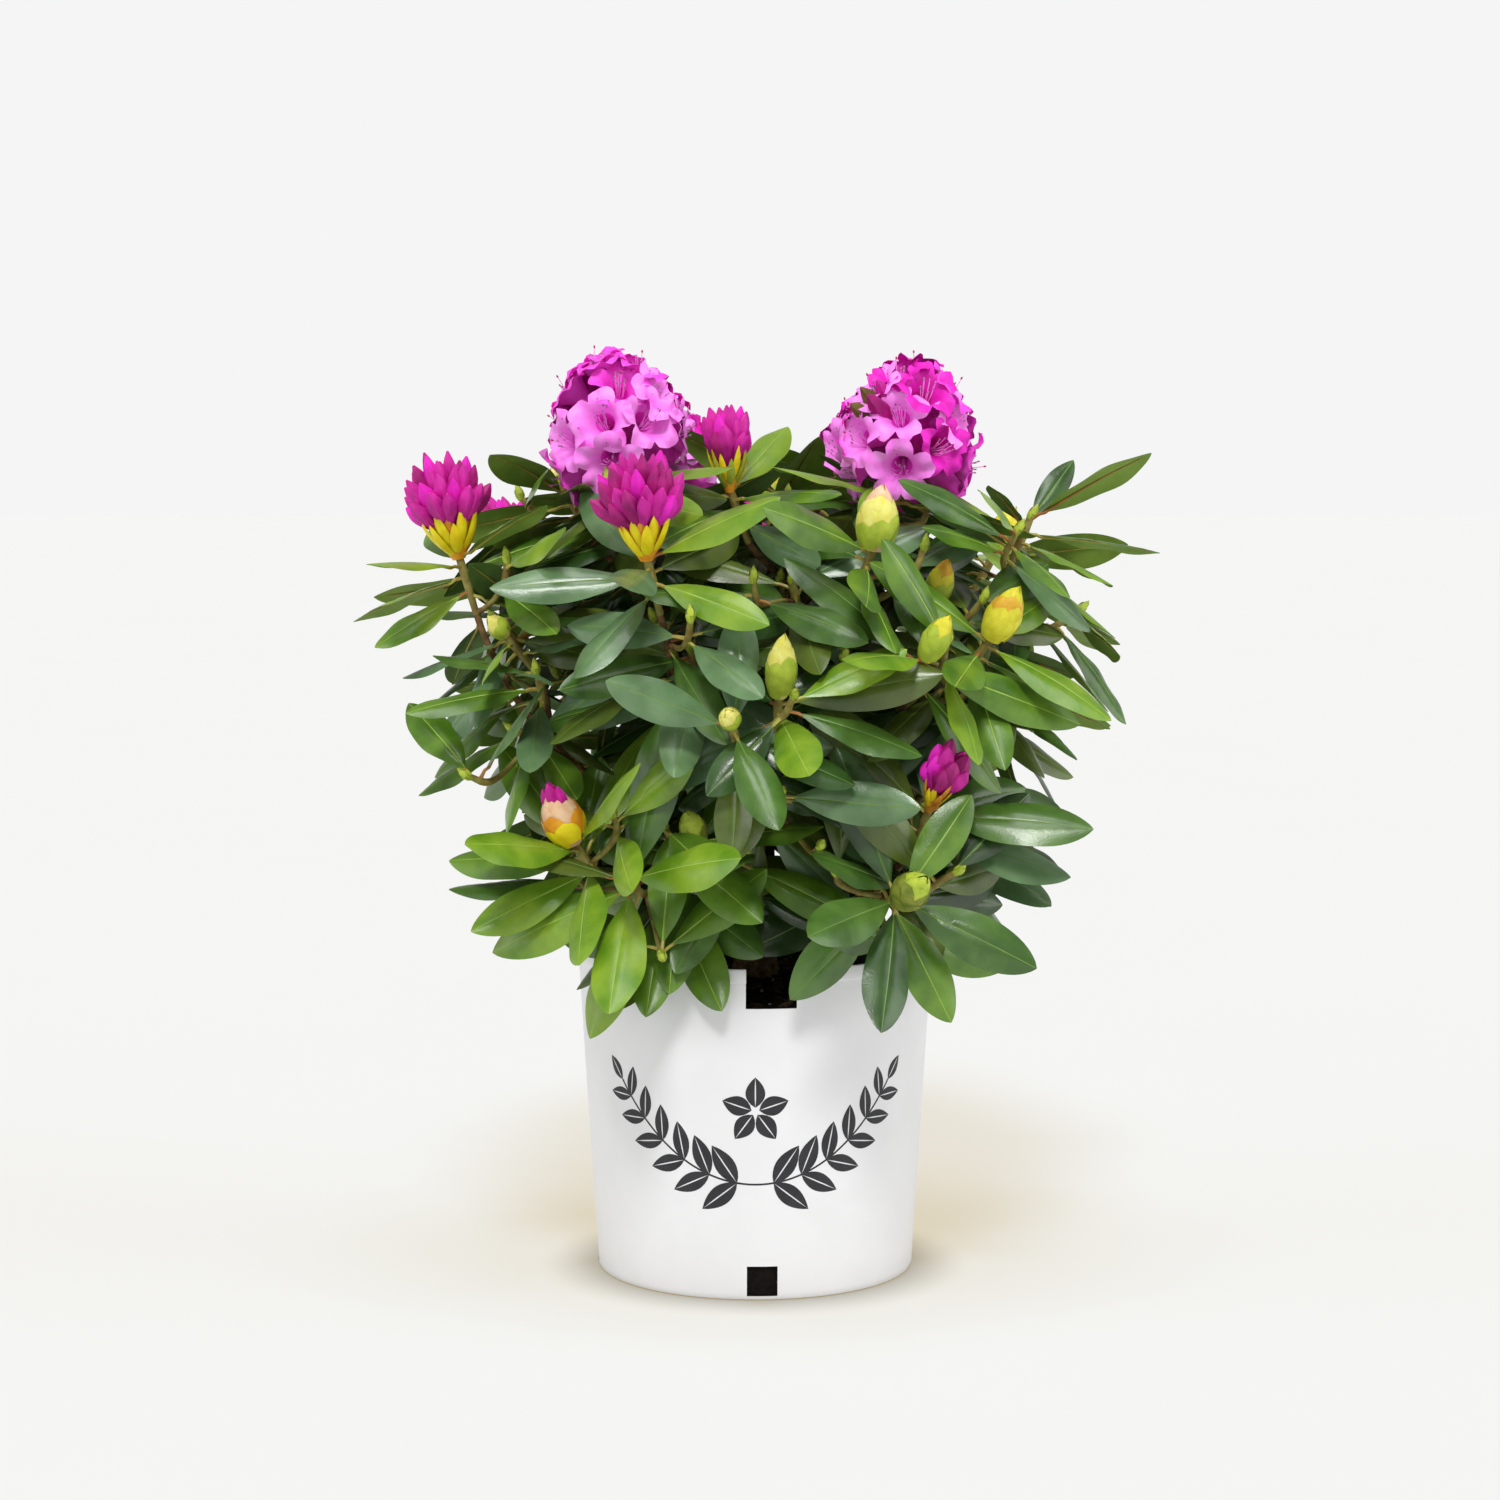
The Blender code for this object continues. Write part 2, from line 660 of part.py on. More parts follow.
def turned_object(name, profile, finish):
    """A closed profile of (radius, height) points spun round the Z axis."""
    shape = bmesh.new()
    ring = [shape.verts.new((r, 0, z)) for r, z in profile]
    edges = [shape.edges.new((a, b)) for a, b in zip(ring, ring[1:])]
    bmesh.ops.spin(
        shape, geom=ring + edges, cent=(0, 0, 0), axis=(0, 0, 1), angle=2 * math.pi,
        steps=ROUND_STEPS, use_merge=True,
    )
    bmesh.ops.remove_doubles(shape, verts=shape.verts, dist=1e-6)
    bmesh.ops.recalc_face_normals(shape, faces=shape.faces)
    mesh = bpy.data.meshes.new(name)
    shape.to_mesh(mesh)
    shape.free()
    mesh.shade_smooth()
    mesh.set_sharp_from_angle(angle=SHARP_ANGLE)
    mesh.materials.append(finish)
    made = bpy.data.objects.new(name, mesh)
    bpy.context.scene.collection.objects.link(made)
    return made


def box_cutter(name, bearing, reach, size, height, target):
    """A box that cuts through the wall of the pot at a bearing."""
    bpy.ops.mesh.primitive_cube_add(size=1, location=polar(bearing, reach, height))
    cutter = bpy.context.object
    cutter.name = name
    cutter.scale = size
    cutter.rotation_euler.z = math.radians(bearing)
    cutter.hide_render = True
    cutter.display_type = "WIRE"
    cut = target.modifiers.new(name, "BOOLEAN")
    cut.operation = "DIFFERENCE"
    cut.object = cutter


def wall_radius(height):
    """The outer radius of the pot's wall, below its lip."""
    return POT_FOOT_RADIUS + (POT_TOP_RADIUS - LIP_STEP - POT_FOOT_RADIUS) * height / POT_HEIGHT


def make_pot(finish):
    lip_foot = POT_HEIGHT - LIP_HEIGHT
    profile = [
        (0, 0),
        (POT_FOOT_RADIUS - FOOT_CHAMFER, 0),
        (wall_radius(FOOT_CHAMFER), FOOT_CHAMFER),
        (wall_radius(lip_foot), lip_foot),
        (POT_TOP_RADIUS, lip_foot + LIP_STEP),
        (POT_TOP_RADIUS, POT_HEIGHT - RIM_ROUND),
        (POT_TOP_RADIUS - RIM_ROUND, POT_HEIGHT),
        (wall_radius(POT_HEIGHT) - POT_WALL, POT_HEIGHT),
        (wall_radius(POT_FLOOR) - POT_WALL, POT_FLOOR),
        (0, POT_FLOOR),
    ]
    pot = turned_object("pot", profile, finish)
    for i, bearing in enumerate(DRAIN_BEARINGS):
        size = (CUT_DEPTH, DRAIN_SIDE, DRAIN_SIDE)
        box_cutter(f"drain_cutter_{i}", bearing, POT_FOOT_RADIUS, size, DRAIN_SILL + DRAIN_SIDE / 2, pot)
    size = (CUT_DEPTH, NOTCH_WIDTH, NOTCH_DEPTH * 2)
    box_cutter("notch_cutter", NOTCH_BEARING, POT_TOP_RADIUS, size, POT_HEIGHT, pot)


def make_soil(finish):
    inner = POT_WALL + GAP
    floor = POT_FLOOR + GAP
    profile = [
        (0, floor),
        (wall_radius(floor) - inner, floor),
        (wall_radius(SOIL_EDGE_HEIGHT) - inner, SOIL_EDGE_HEIGHT),
        (SOIL_CROWN_RADIUS, SOIL_CROWN_HEIGHT),
        (0, SOIL_CROWN_HEIGHT),
    ]
    turned_object("soil", profile, finish)


def make_trunk(finish):
    heights = [TRUNK_HEIGHT * share for share in TRUNK_SHARES]
    path = [trunk_point(height) for height in heights]
    curve_limb("trunk", path, [trunk_radius(height) for height in heights], TRUNK_BEVEL, finish)


def tapering(foot_radius, tip_radius, path):
    """A radius at each point of a path, from its foot to its tip."""
    last = len(path) - 1
    return [foot_radius + (tip_radius - foot_radius) * i / last for i in range(len(path))]


def make_bough(name, mass, finish):
    path = bough_path(mass)
    radii = tapering(BOUGH_FOOT_RADIUS, BOUGH_TIP_RADIUS, path)
    curve_limb(f"bough_{name}", path, radii, BOUGH_BEVEL, finish)


def make_mass(name, stem, twigs, finish):
    base, fork = stem
    stem_end = base.lerp(fork, STEM_OVERSHOOT)
    stem_radii = [BOUGH_TIP_RADIUS, STEM_RADIUS, STEM_END_RADIUS]
    bodies = [tube_body([base, fork, stem_end], stem_radii, STEM_SIDES)]
    for twig in twigs:
        bodies.append(tube_body(twig.path, tapering(TWIG_RADIUS, TWIG_TIP_RADIUS, twig.path), TWIG_SIDES))
        bodies += head_bodies(twig.shoot)
        bodies += [leaf_body(leaf) for leaf in twig.leaves]
    fuse(f"foliage_{name}", bodies, finish)


def main():
    for old in list(bpy.data.objects):
        bpy.data.objects.remove(old)
    plastic = material("white_plastic", (0.86, 0.86, 0.87), 0.38)
    mix = material("potting_mix", (0.035, 0.025, 0.018), 0.95)
    bark = material("bark", (0.22, 0.15, 0.09), 0.85)
    foliage = material("foliage", (0.10, 0.26, 0.05), 0.45)
    make_pot(plastic)
    make_soil(mix)
    make_trunk(bark)
    grown = grow()
    for name, mass in MASSES.items():
        make_bough(name, mass, bark)
    for name, (stem, twigs) in grown.items():
        make_mass(name, stem, twigs, foliage)


main()
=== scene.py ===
"""The looks of a potted rhododendron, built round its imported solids.

Metres, +Z up, with the origin in the middle of the pot's flat underside and the front at -Y.
The plant grows here by the same seeded rule as its solids, and is carried on to older leaves,
finer shoots, petals, stamens and bud scales within the same reach.
"""

import math
import random
from collections import namedtuple

import bmesh
import bpy
import numpy as np
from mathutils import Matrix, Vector, noise
from mathutils.bvhtree import BVHTree


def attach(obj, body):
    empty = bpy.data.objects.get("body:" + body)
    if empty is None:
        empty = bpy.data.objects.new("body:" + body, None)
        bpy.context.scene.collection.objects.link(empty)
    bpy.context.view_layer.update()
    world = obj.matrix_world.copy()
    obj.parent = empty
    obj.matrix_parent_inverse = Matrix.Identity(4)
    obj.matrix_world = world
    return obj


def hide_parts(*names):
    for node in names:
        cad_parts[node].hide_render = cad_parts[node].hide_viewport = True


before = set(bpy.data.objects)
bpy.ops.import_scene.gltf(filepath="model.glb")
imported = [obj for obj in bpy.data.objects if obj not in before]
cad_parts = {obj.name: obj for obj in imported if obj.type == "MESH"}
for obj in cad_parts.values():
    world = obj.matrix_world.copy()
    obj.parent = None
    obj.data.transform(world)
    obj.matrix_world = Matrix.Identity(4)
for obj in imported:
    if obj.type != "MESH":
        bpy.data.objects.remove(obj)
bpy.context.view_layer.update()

# The pot
POT_HEIGHT = 0.254
POT_TOP_RADIUS = 0.1395
POT_FOOT_RADIUS = 0.123
POT_WALL = 0.0026
POT_FLOOR = 0.003
FOOT_CHAMFER = 0.003
LIP_HEIGHT = 0.011
LIP_STEP = 0.0012
RIM_ROUND = 0.0012
SHARP_ANGLE = math.radians(30)
ROUND_STEPS = 36
DRAIN_SIDE = 0.023
DRAIN_SILL = 0.0036
DRAIN_BEARINGS = (2.4, 92.4, 182.4, 272.4)
CUT_DEPTH = 0.030
NOTCH_WIDTH = 0.038
NOTCH_DEPTH = 0.030
NOTCH_BEARING = 275.0

# The potting mix, and the gap that neighbouring solids keep
GAP = 0.0003
SOIL_EDGE_HEIGHT = 0.219
SOIL_CROWN_HEIGHT = 0.227
SOIL_CROWN_RADIUS = 0.034

# The trunk and the boughs
TRUNK_HEIGHT = 0.074
TRUNK_FLARE_RADIUS = 0.021
FLARE_FADE = 0.008
TRUNK_FOOT_RADIUS = 0.0150
TRUNK_TOP_RADIUS = 0.0130
TRUNK_LEAN = 0.004
TRUNK_SHARES = (0, 0.05, 0.13, 0.25, 0.5, 0.75, 1)
TRUNK_BEVEL = 6
BOUGH_FOOT_RADIUS = 0.0050
BOUGH_TIP_RADIUS = 0.0036
BOUGH_COLLAR = 0.006
BOUGH_STATIONS = 5
BOUGH_SIDES = 6
BOUGH_BEVEL = 1
BOUGH_PULL = 0.4
BOUGH_SHARE = 0.52
FORK_SHARE = 0.68
TIER_HEIGHTS = {"low": 0.030, "high": 0.052, "top": TRUNK_HEIGHT}
TOP_RING_RADIUS = 0.0066

# Twigs and leaves
STEM_RADIUS = 0.0036
STEM_END_RADIUS = 0.002
STEM_OVERSHOOT = 1.06
STEM_SIDES = 5
TWIG_SIDES = 3
TWIG_RADIUS = 0.0030
TWIG_TIP_RADIUS = 0.0026
TWIG_STATIONS = 4
TWIG_WOBBLE = 0.003
TWIG_FOOT_PULL, TWIG_TIP_PULL = 0.3, 0.45
LEAF_LENGTH = 0.121
LEAF_WIDTH = 0.046
LEAF_THICKNESS = 0.0014
PETIOLE_RADIUS = 0.0013
PETIOLE_SHARE = 0.13
PETIOLE_TOP = 0.0006
LEAF_LOW, LEAF_LOW_WIDTH = 0.38, 0.86
LEAF_HIGH, LEAF_HIGH_WIDTH = 0.76, 0.90
LEAF_CREST = 0.56
LEAF_FOLD = 0.13
LEAF_ARCH = 0.13
LEAF_ROLL = 0.8
GOLDEN_ANGLE = math.radians(137.508)
WHORL_START = 0.004
WHORL_STEP = 0.0036
WHORL_RANKS = 8
OLD_LEAF_STEP = 0.021
LEAF_CLEARANCE = 0.0012
POT_CLEARANCE = 0.005
BLADE_SHARE = 0.10
LIMB_ALLOWANCE = 1.25
LEAF_SCALES = (1.0, 0.85)
SEED = 11

# How leaves stand: degrees from their shoot's axis at the top and foot of a whorl, and on older
# wood, and how far a wide truss presses them down. Then how they droop and what they face.
TOP_FALL, FOOT_FALL, OLD_FALL, TRUSS_FALL = 56, 102, 108, 14
TOP_DROOP, FOOT_DROOP = 0.10, 0.20
FACE_SKY, FACE_OUT = 0.7, 0.5

# How far a leaf may turn round its shoot, and towards or away from the tip, to find free space
LEAF_TURNS = (
    (0, 0), (10, 0), (-10, 0), (0, 10), (0, -10), (20, 0), (-20, 0), (12, 14), (-12, 14),
    (0, 22), (12, -14), (-12, -14), (32, 0), (-32, 0), (24, 20), (-24, 20), (0, -22),
)

# Flower heads: how far each kind reaches above its shoot's tip, and its radius
HEAD_SIZES = {
    "open": (0.098, 0.054),
    "half": (0.080, 0.031),
    "young": (0.068, 0.021),
    "show": (0.052, 0.018),
    "peep": (0.052, 0.018),
    "bud": (0.044, 0.0125),
    "small": (0.022, 0.0075),
}
HEAD_SINK = 0.004

# The profiles of the heads, as (height, radius): lengths in the truss's core, elsewhere shares
TRUSS_CORE = ((0, 0.005), (0.030, 0.013), (0.056, 0.016), (0.072, 0))
HALF_CORE = ((0, 0.18), (0.26, 0.62), (0.60, 0.84), (0.82, 0.50), (0.90, 0))
PETALS = ((0.3, 0.26), (0.72, 0.22), (1, 0))
BUD = ((0, 0.45), (0.34, 1), (0.62, 0.78), (1.09, 0))
FLORETS, FLORETS_LOWEST, FLORET_RADIUS, FLORET_HOLLOW = 12, -0.42, 0.0210, 0.72
PETAL_TUFTS, TUFTS_LOWEST, TUFT_HEART = 7, 0.25, 0.40

Shoot = namedtuple("Shoot", "bearing reach height lean head leaves spin size spread", defaults=(1, 0))
Mass = namedtuple("Mass", "tier foot_bearing shoots")
Leaf = namedtuple("Leaf", "root direction normal length width arch fold")
Twig = namedtuple("Twig", "shoot path leaves rule")

# Each mass of foliage: where its bough leaves the trunk, and its shoots. A shoot's tip is given
# by its bearing, its reach from the axis and its height; lean is its tilt outwards in degrees,
# spin turns its leaves round it, size scales them, and spread opens them wider, in degrees.
MASSES = {
    "front_left": Mass("high", 222, (
        Shoot(242, 0.169, 0.560, 12, "half", 9, 20, 0.95),
        Shoot(248, 0.128, 0.490, 38, "leafy", 9, 100),
    )),
    "low_front_left": Mass("low", 236, (
        Shoot(241, 0.194, 0.325, 52, "leafy", 9, 12, 1.03),
        Shoot(226, 0.195, 0.352, 30, "peep", 9, 225, 1, -22),
        Shoot(252, 0.140, 0.350, 45, "bud", 8, 40),
    )),
    "low_front_right": Mass("low", 300, (
        Shoot(299, 0.218, 0.314, 60, "bud", 9, 46, 0.94),
        Shoot(311, 0.195, 0.376, 30, "show", 9, 0, 1, -14),
        Shoot(345, 0.150, 0.350, 50, "leafy", 8, 90),
    )),
    "mid_front": Mass("high", 270, (
        Shoot(265, 0.205, 0.443, 58, "small", 9, 30, 0.78),
        Shoot(276, 0.168, 0.462, 30, "bud", 8, 80),
        Shoot(280, 0.120, 0.372, 55, "leafy", 9, 10),
    )),
    "mid_front_right": Mass("high", 322, (
        Shoot(326, 0.212, 0.500, 30, "bud", 9, 0, 0.93),
        Shoot(308, 0.203, 0.488, 38, "bud", 9, 60),
        Shoot(330, 0.155, 0.524, 20, "bud", 8, 110),
    )),
    "upper_front": Mass("top", 285, (
        Shoot(304, 0.156, 0.567, 12, "bud", 9, 45),
        Shoot(285, 0.105, 0.540, 18, "leafy", 9, 5),
    )),
    "left": Mass("low", 188, (
        Shoot(195, 0.232, 0.558, 12, "half", 9, 40, 0.86),
        Shoot(203, 0.205, 0.500, 45, "small", 9, 60, 0.78),
        Shoot(207, 0.203, 0.428, 55, "leafy", 9, 100, 0.8),
    )),
    "right": Mass("low", 352, (
        Shoot(350, 0.213, 0.586, 30, "leafy", 10, 250, 0.92, -18),
        Shoot(354, 0.214, 0.530, 46, "leafy", 9, 70, 0.85),
        Shoot(345, 0.175, 0.440, 50, "leafy", 9, 30, 0.86),
    )),
    "top_left": Mass("top", 165, (
        Shoot(197, 0.106, 0.612, 6, "open", 9, 30),
        Shoot(168, 0.155, 0.608, 22, "small", 9, 90, 1, -12),
    )),
    "top_right": Mass("top", 45, (
        Shoot(349, 0.113, 0.606, 8, "open", 9, 0),
        Shoot(247, 0.050, 0.608, 6, "young", 8, 75, 0.9),
        Shoot(60, 0.050, 0.600, 15, "leafy", 9, 20),
    )),
    "back_left": Mass("high", 128, (
        Shoot(150, 0.215, 0.540, 26, "young", 9, 40),
        Shoot(122, 0.155, 0.590, 12, "open", 9, 0),
        Shoot(140, 0.200, 0.460, 50, "bud", 9, 80),
    )),
    "back": Mass("high", 88, (
        Shoot(92, 0.215, 0.530, 22, "half", 9, 10),
        Shoot(84, 0.130, 0.588, 12, "bud", 9, 50),
        Shoot(97, 0.205, 0.440, 50, "bud", 9, 95),
    )),
    "back_right": Mass("high", 50, (
        Shoot(26, 0.215, 0.555, 26, "bud", 9, 60),
        Shoot(54, 0.165, 0.590, 12, "open", 9, 25),
        Shoot(42, 0.210, 0.470, 48, "bud", 9, 0),
    )),
    "low_back_left": Mass("low", 150, (
        Shoot(152, 0.158, 0.360, 55, "bud", 9, 35, 0.9),
        Shoot(128, 0.185, 0.325, 62, "leafy", 9, 75, 0.95),
        Shoot(112, 0.185, 0.375, 45, "show", 9, 0),
        Shoot(184, 0.125, 0.380, 50, "leafy", 8, 30, 0.85),
    )),
    "low_back_right": Mass("low", 28, (
        Shoot(20, 0.150, 0.370, 55, "bud", 9, 15, 0.85),
        Shoot(52, 0.182, 0.325, 62, "leafy", 9, 65, 0.92),
        Shoot(68, 0.190, 0.375, 42, "bud", 9, 100),
        Shoot(2, 0.125, 0.385, 50, "leafy", 8, 60, 0.85),
    )),
}

# The photograph's frame and camera
PHOTO_SIDE = 1500
FOCAL_PIXELS = 3231
SENSOR = 36.0
CAMERA_PLACE = (-0.004, -2.5, 0.635)
CAMERA_DROP = math.radians(5.28)

# What the scene grows beyond the solids: older leaves down each twig, and a finer side shoot
OLD_LEAVES = 8
SIDE_LEAVES = 7
SIDE_LENGTHS = (0.045, 0.065)
SIDE_SIZE = 0.84
SIDE_PLACES = (0.25, 0.5, 0.75)
SIDE_AHEAD, SIDE_RISE = 0.5, 0.35
SIDE_TRIES = 6
SLENDER = {"low_front_left": 0.82, "low_front_right": 0.84, "mid_front": 0.80, "right": 0.64}
OTHER_SLENDER = 0.73
CROWN_MIDDLE = Vector((0, 0, 0.42))
EXTRA_REACH, EXTRA_RISE = 0.88, 0.014
SUN_PULLS = {"low_front_left": (0.9, 0.45, 0), "low_front_right": (0.9, 0.45, 0), "mid_front": (0.8, 0.4, 0),
             "left": (0.3, 0.15, 0), "right": (0.08, 0.04, 0)}
OTHER_PULLS = (0.55, 0.3, 0)
# Single leaves that lean another way, by mass, twig and number: the lean, and the size
LEAF_LEANS = {
    ("right", 0, 0): ((0, 0, 0.32), 1.0),
    ("right", 0, 1): ((0.3, 0, 0), 0.72),
    ("right", 0, 2): ((-0.4, 0, -0.1), 0.68),
}
LEANING_FACE = Vector((0, 0, 0.9))
SIGHT_LENGTH, SIGHT_RISE, SIGHT_SHARE = 0.16, 0.03, 0.85

# The dark gap between the two lowest sprays: where it runs into the crown, and its width
GAP_PLACES = (Vector((0.019, -0.30, 0.275)), Vector((0.020, -0.30, 0.305)), Vector((0.021, -0.30, 0.335)))
GAP_LENGTH, GAP_RADIUS = 0.165, 0.013

# The form of a leaf: its rows run slantwise, as its side veins do
BLADE_START = 0.11
BLADE_ROWS = 19
BLADE_REACH = np.array([-1, -0.72, -0.38, 0, 0, 0, 0.38, 0.72, 1])
BLADE_RIBS = np.array([-1, -1, -1, -1, 0, 1, 1, 1, 1])
OUTLINE_FOOT, OUTLINE_TIP = 0.92, 0.74
RIB_HALF_WIDTH = 0.0007
RIB_GROOVE = 0.0006
EXTRA_FOLD = 0.12
VEIN_SLANT = 0.55
VEIN_DEPTH = 0.00024
RIPPLE = 0.0011
ROLLED_EDGE = 0.0007
BLADE_SHEET = 0.0005
PETIOLE_SIDES = 5
PETIOLE_STATIONS = (
    (-0.01, 0.0019), (0.04, 0.0015), (0.09, 0.00135), (0.13, 0.0013), (0.2, 0.00115),
    (0.35, 0.0009), (0.5, 0.0007), (0.7, 0.00045), (0.93, 0.0002),
)
SHARP_FOLD = math.radians(50)

# Limbs: how closely they are drawn, and how rough their bark is, as a share of their radius
LIMB_STEP = 0.004
BOUGH_RELIEF, TWIG_RELIEF = 0.16, 0.08
GREEN_WOOD = 0.05

# The leaf bud at a leafy shoot's tip: its length, radius, scales and colours
LEAF_BUD = (0.015, 0.0034, 6, ("bud_green", "bud_green", "bract_green"))

# Open florets, closed buds, bracts and bud scales
FLORETS_SHOWN = 20
FLORET_FOOT = 0.013
TRUSS_DOME, TRUSS_TAPER = 0.015, 0.009
TRUSS_HEART = ((0, 0.005), (0.004, 0.013), (0.012, 0.019), (0.022, 0.021), (0.032, 0.018), (0.040, 0.010), (0.043, 0))
COROLLA_DEPTH, COROLLA_RADIUS = 0.040, 0.0275
COROLLA_ROWS, LOBE_STEPS = 9, 10
COROLLA_SHEET = 0.0004
LOBE_NOTCH = 0.28
RUFFLE = 0.0026
STAMENS = 8

# Bud scales, as shares of a bud's radius: how far the lowest stand out over the highest, how far
# their tips stand off, and their thickness. Then how far their colours mingle
SCALE_LAYERS, SCALE_FLARE, SCALE_SHEET = 0.09, 0.035, 0.03
SCALE_MIX = 1.2


def polar(bearing, reach, height):
    turn = math.radians(bearing)
    return Vector((reach * math.cos(turn), reach * math.sin(turn), height))


def smooth_curve(start, start_pull, end, end_pull, count):
    """Points along a cubic Bezier curve, whose handles are the two pulls."""
    points = []
    for i in range(count):
        t = i / (count - 1)
        s = 1 - t
        points.append(
            start * s ** 3
            + (start + start_pull) * 3 * s * s * t
            + (end - end_pull) * 3 * s * t * t
            + end * t ** 3
        )
    return points


def frames_along(points, first_side):
    """A side vector at each point of a path, carried along it without twisting."""
    sides = []
    side = first_side
    for i in range(len(points)):
        ahead = points[min(i + 1, len(points) - 1)] - points[max(i - 1, 0)]
        ahead.normalize()
        side = (side - ahead * side.dot(ahead)).normalized()
        sides.append((side, ahead.cross(side)))
    return sides


def any_side(direction):
    helper = Vector((1, 0, 0)) if abs(direction.x) < 0.8 else Vector((0, 1, 0))
    return direction.cross(helper).normalized()


# Where the trunk, the boughs and the stems run

def trunk_point(height):
    """The trunk's centre at a height above its foot: it rises straight, then leans."""
    return Vector((TRUNK_LEAN * (height / TRUNK_HEIGHT) ** 2, 0, SOIL_CROWN_HEIGHT + GAP + height))


def trunk_radius(height):
    flare = (TRUNK_FLARE_RADIUS - TRUNK_FOOT_RADIUS) * math.exp(-height / FLARE_FADE)
    taper = TRUNK_FOOT_RADIUS + (TRUNK_TOP_RADIUS - TRUNK_FOOT_RADIUS) * height / TRUNK_HEIGHT
    return taper + flare


def shoot_tip(shoot):
    return polar(shoot.bearing, shoot.reach, shoot.height)


def shoot_axis(shoot):
    lean = math.radians(shoot.lean)
    return polar(shoot.bearing, math.sin(lean), math.cos(lean))


def mass_route(mass):
    """Where a mass's stem starts and forks, between its place on the trunk and its shoots' middle."""
    hub = trunk_point(TIER_HEIGHTS[mass.tier])
    middle = sum((shoot_tip(s) for s in mass.shoots), Vector()) / len(mass.shoots)
    lowest = min(shoot_tip(s).z for s in mass.shoots)
    middle.z = 0.5 * middle.z + 0.5 * lowest
    base = hub.lerp(middle, BOUGH_SHARE)
    fork = hub.lerp(middle, FORK_SHARE)
    return base, fork


def bough_path(mass):
    """A bough's route: square off the trunk by a short collar, round to its mass, 0.3 mm clear of both."""
    base, middle = mass_route(mass)
    ahead = (middle - base).normalized()
    tip = base - ahead * GAP
    out = polar(mass.foot_bearing, 1, 0)
    if mass.tier == "top":
        fork = trunk_point(TRUNK_HEIGHT)
        rise = (fork - trunk_point(TRUNK_HEIGHT * TRUNK_SHARES[-2])).normalized()
        foot = fork + (out - rise * out.dot(rise)) * TOP_RING_RADIUS + rise * GAP
        out = rise
    else:
        height = TIER_HEIGHTS[mass.tier]
        foot = trunk_point(height) + out * (trunk_radius(height - BOUGH_FOOT_RADIUS) + 2 * GAP)
    collar = foot + out * BOUGH_COLLAR
    pull = (tip - collar).length * BOUGH_PULL
    neck = tip - ahead * BOUGH_COLLAR
    return [foot] + smooth_curve(collar, out * pull, neck, ahead * pull, BOUGH_STATIONS) + [tip]


def twig_path(fork, incoming, shoot, rule):
    tip = shoot_tip(shoot)
    axis = shoot_axis(shoot)
    length = (tip - fork).length
    pulls = incoming * length * TWIG_FOOT_PULL, axis * length * TWIG_TIP_PULL
    path = smooth_curve(fork, pulls[0], tip, pulls[1], TWIG_STATIONS)
    for i in range(1, len(path) - 1):
        path[i] = path[i] + Vector([rule.uniform(-1, 1) for _ in range(3)]) * TWIG_WOBBLE
    return path


# Closed bodies, each as a list of points and a list of faces

def outward(points, faces):
    """The same body with its faces turned to point outwards."""
    volume = 0.0
    for face in faces:
        for i in range(1, len(face) - 1):
            a, b, c = points[face[0]], points[face[i]], points[face[i + 1]]
            volume += a.dot(b.cross(c))
    if volume < 0:
        faces = [tuple(reversed(face)) for face in faces]
    return points, faces


def tube_body(path, radii, sides):
    """A tapering limb with flat ends."""
    points = []
    for place, radius, (side, up) in zip(path, radii, frames_along(path, any_side(path[1] - path[0]))):
        for k in range(sides):
            turn = 2 * math.pi * k / sides
            points.append(place + (side * math.cos(turn) + up * math.sin(turn)) * radius)
    faces = [tuple(range(sides)), tuple(len(points) - 1 - k for k in range(sides))]
    for i in range(len(path) - 1):
        for k in range(sides):
            a, b = i * sides + k, i * sides + (k + 1) % sides
            faces.append((a, a + sides, b + sides, b))
    return outward(points, faces)


def turned_body(foot, axis, stations, sides):
    """A body turned round an axis: stations are (height, radius), and it ends in a point."""
    side = any_side(axis)
    up = axis.cross(side)
    points = []
    for height, radius in stations[:-1]:
        for k in range(sides):
            angle = 2 * math.pi * k / sides
            points.append(foot + axis * height + (side * math.cos(angle) + up * math.sin(angle)) * radius)
    tip = len(points)
    points.append(foot + axis * stations[-1][0])
    faces = [tuple(range(sides))]
    for i in range(len(stations) - 2):
        for k in range(sides):
            a, b = i * sides + k, i * sides + (k + 1) % sides
            faces.append((a, a + sides, b + sides, b))
    last = (len(stations) - 2) * sides
    for k in range(sides):
        faces.append((last + k, tip, last + (k + 1) % sides))
    return outward(points, faces)


def leaf_midrib(leaf, t):
    """The point at share t of a leaf's length, along its drooping midrib."""
    return leaf.root + (leaf.direction * t - leaf.normal * leaf.arch * t * t) * leaf.length


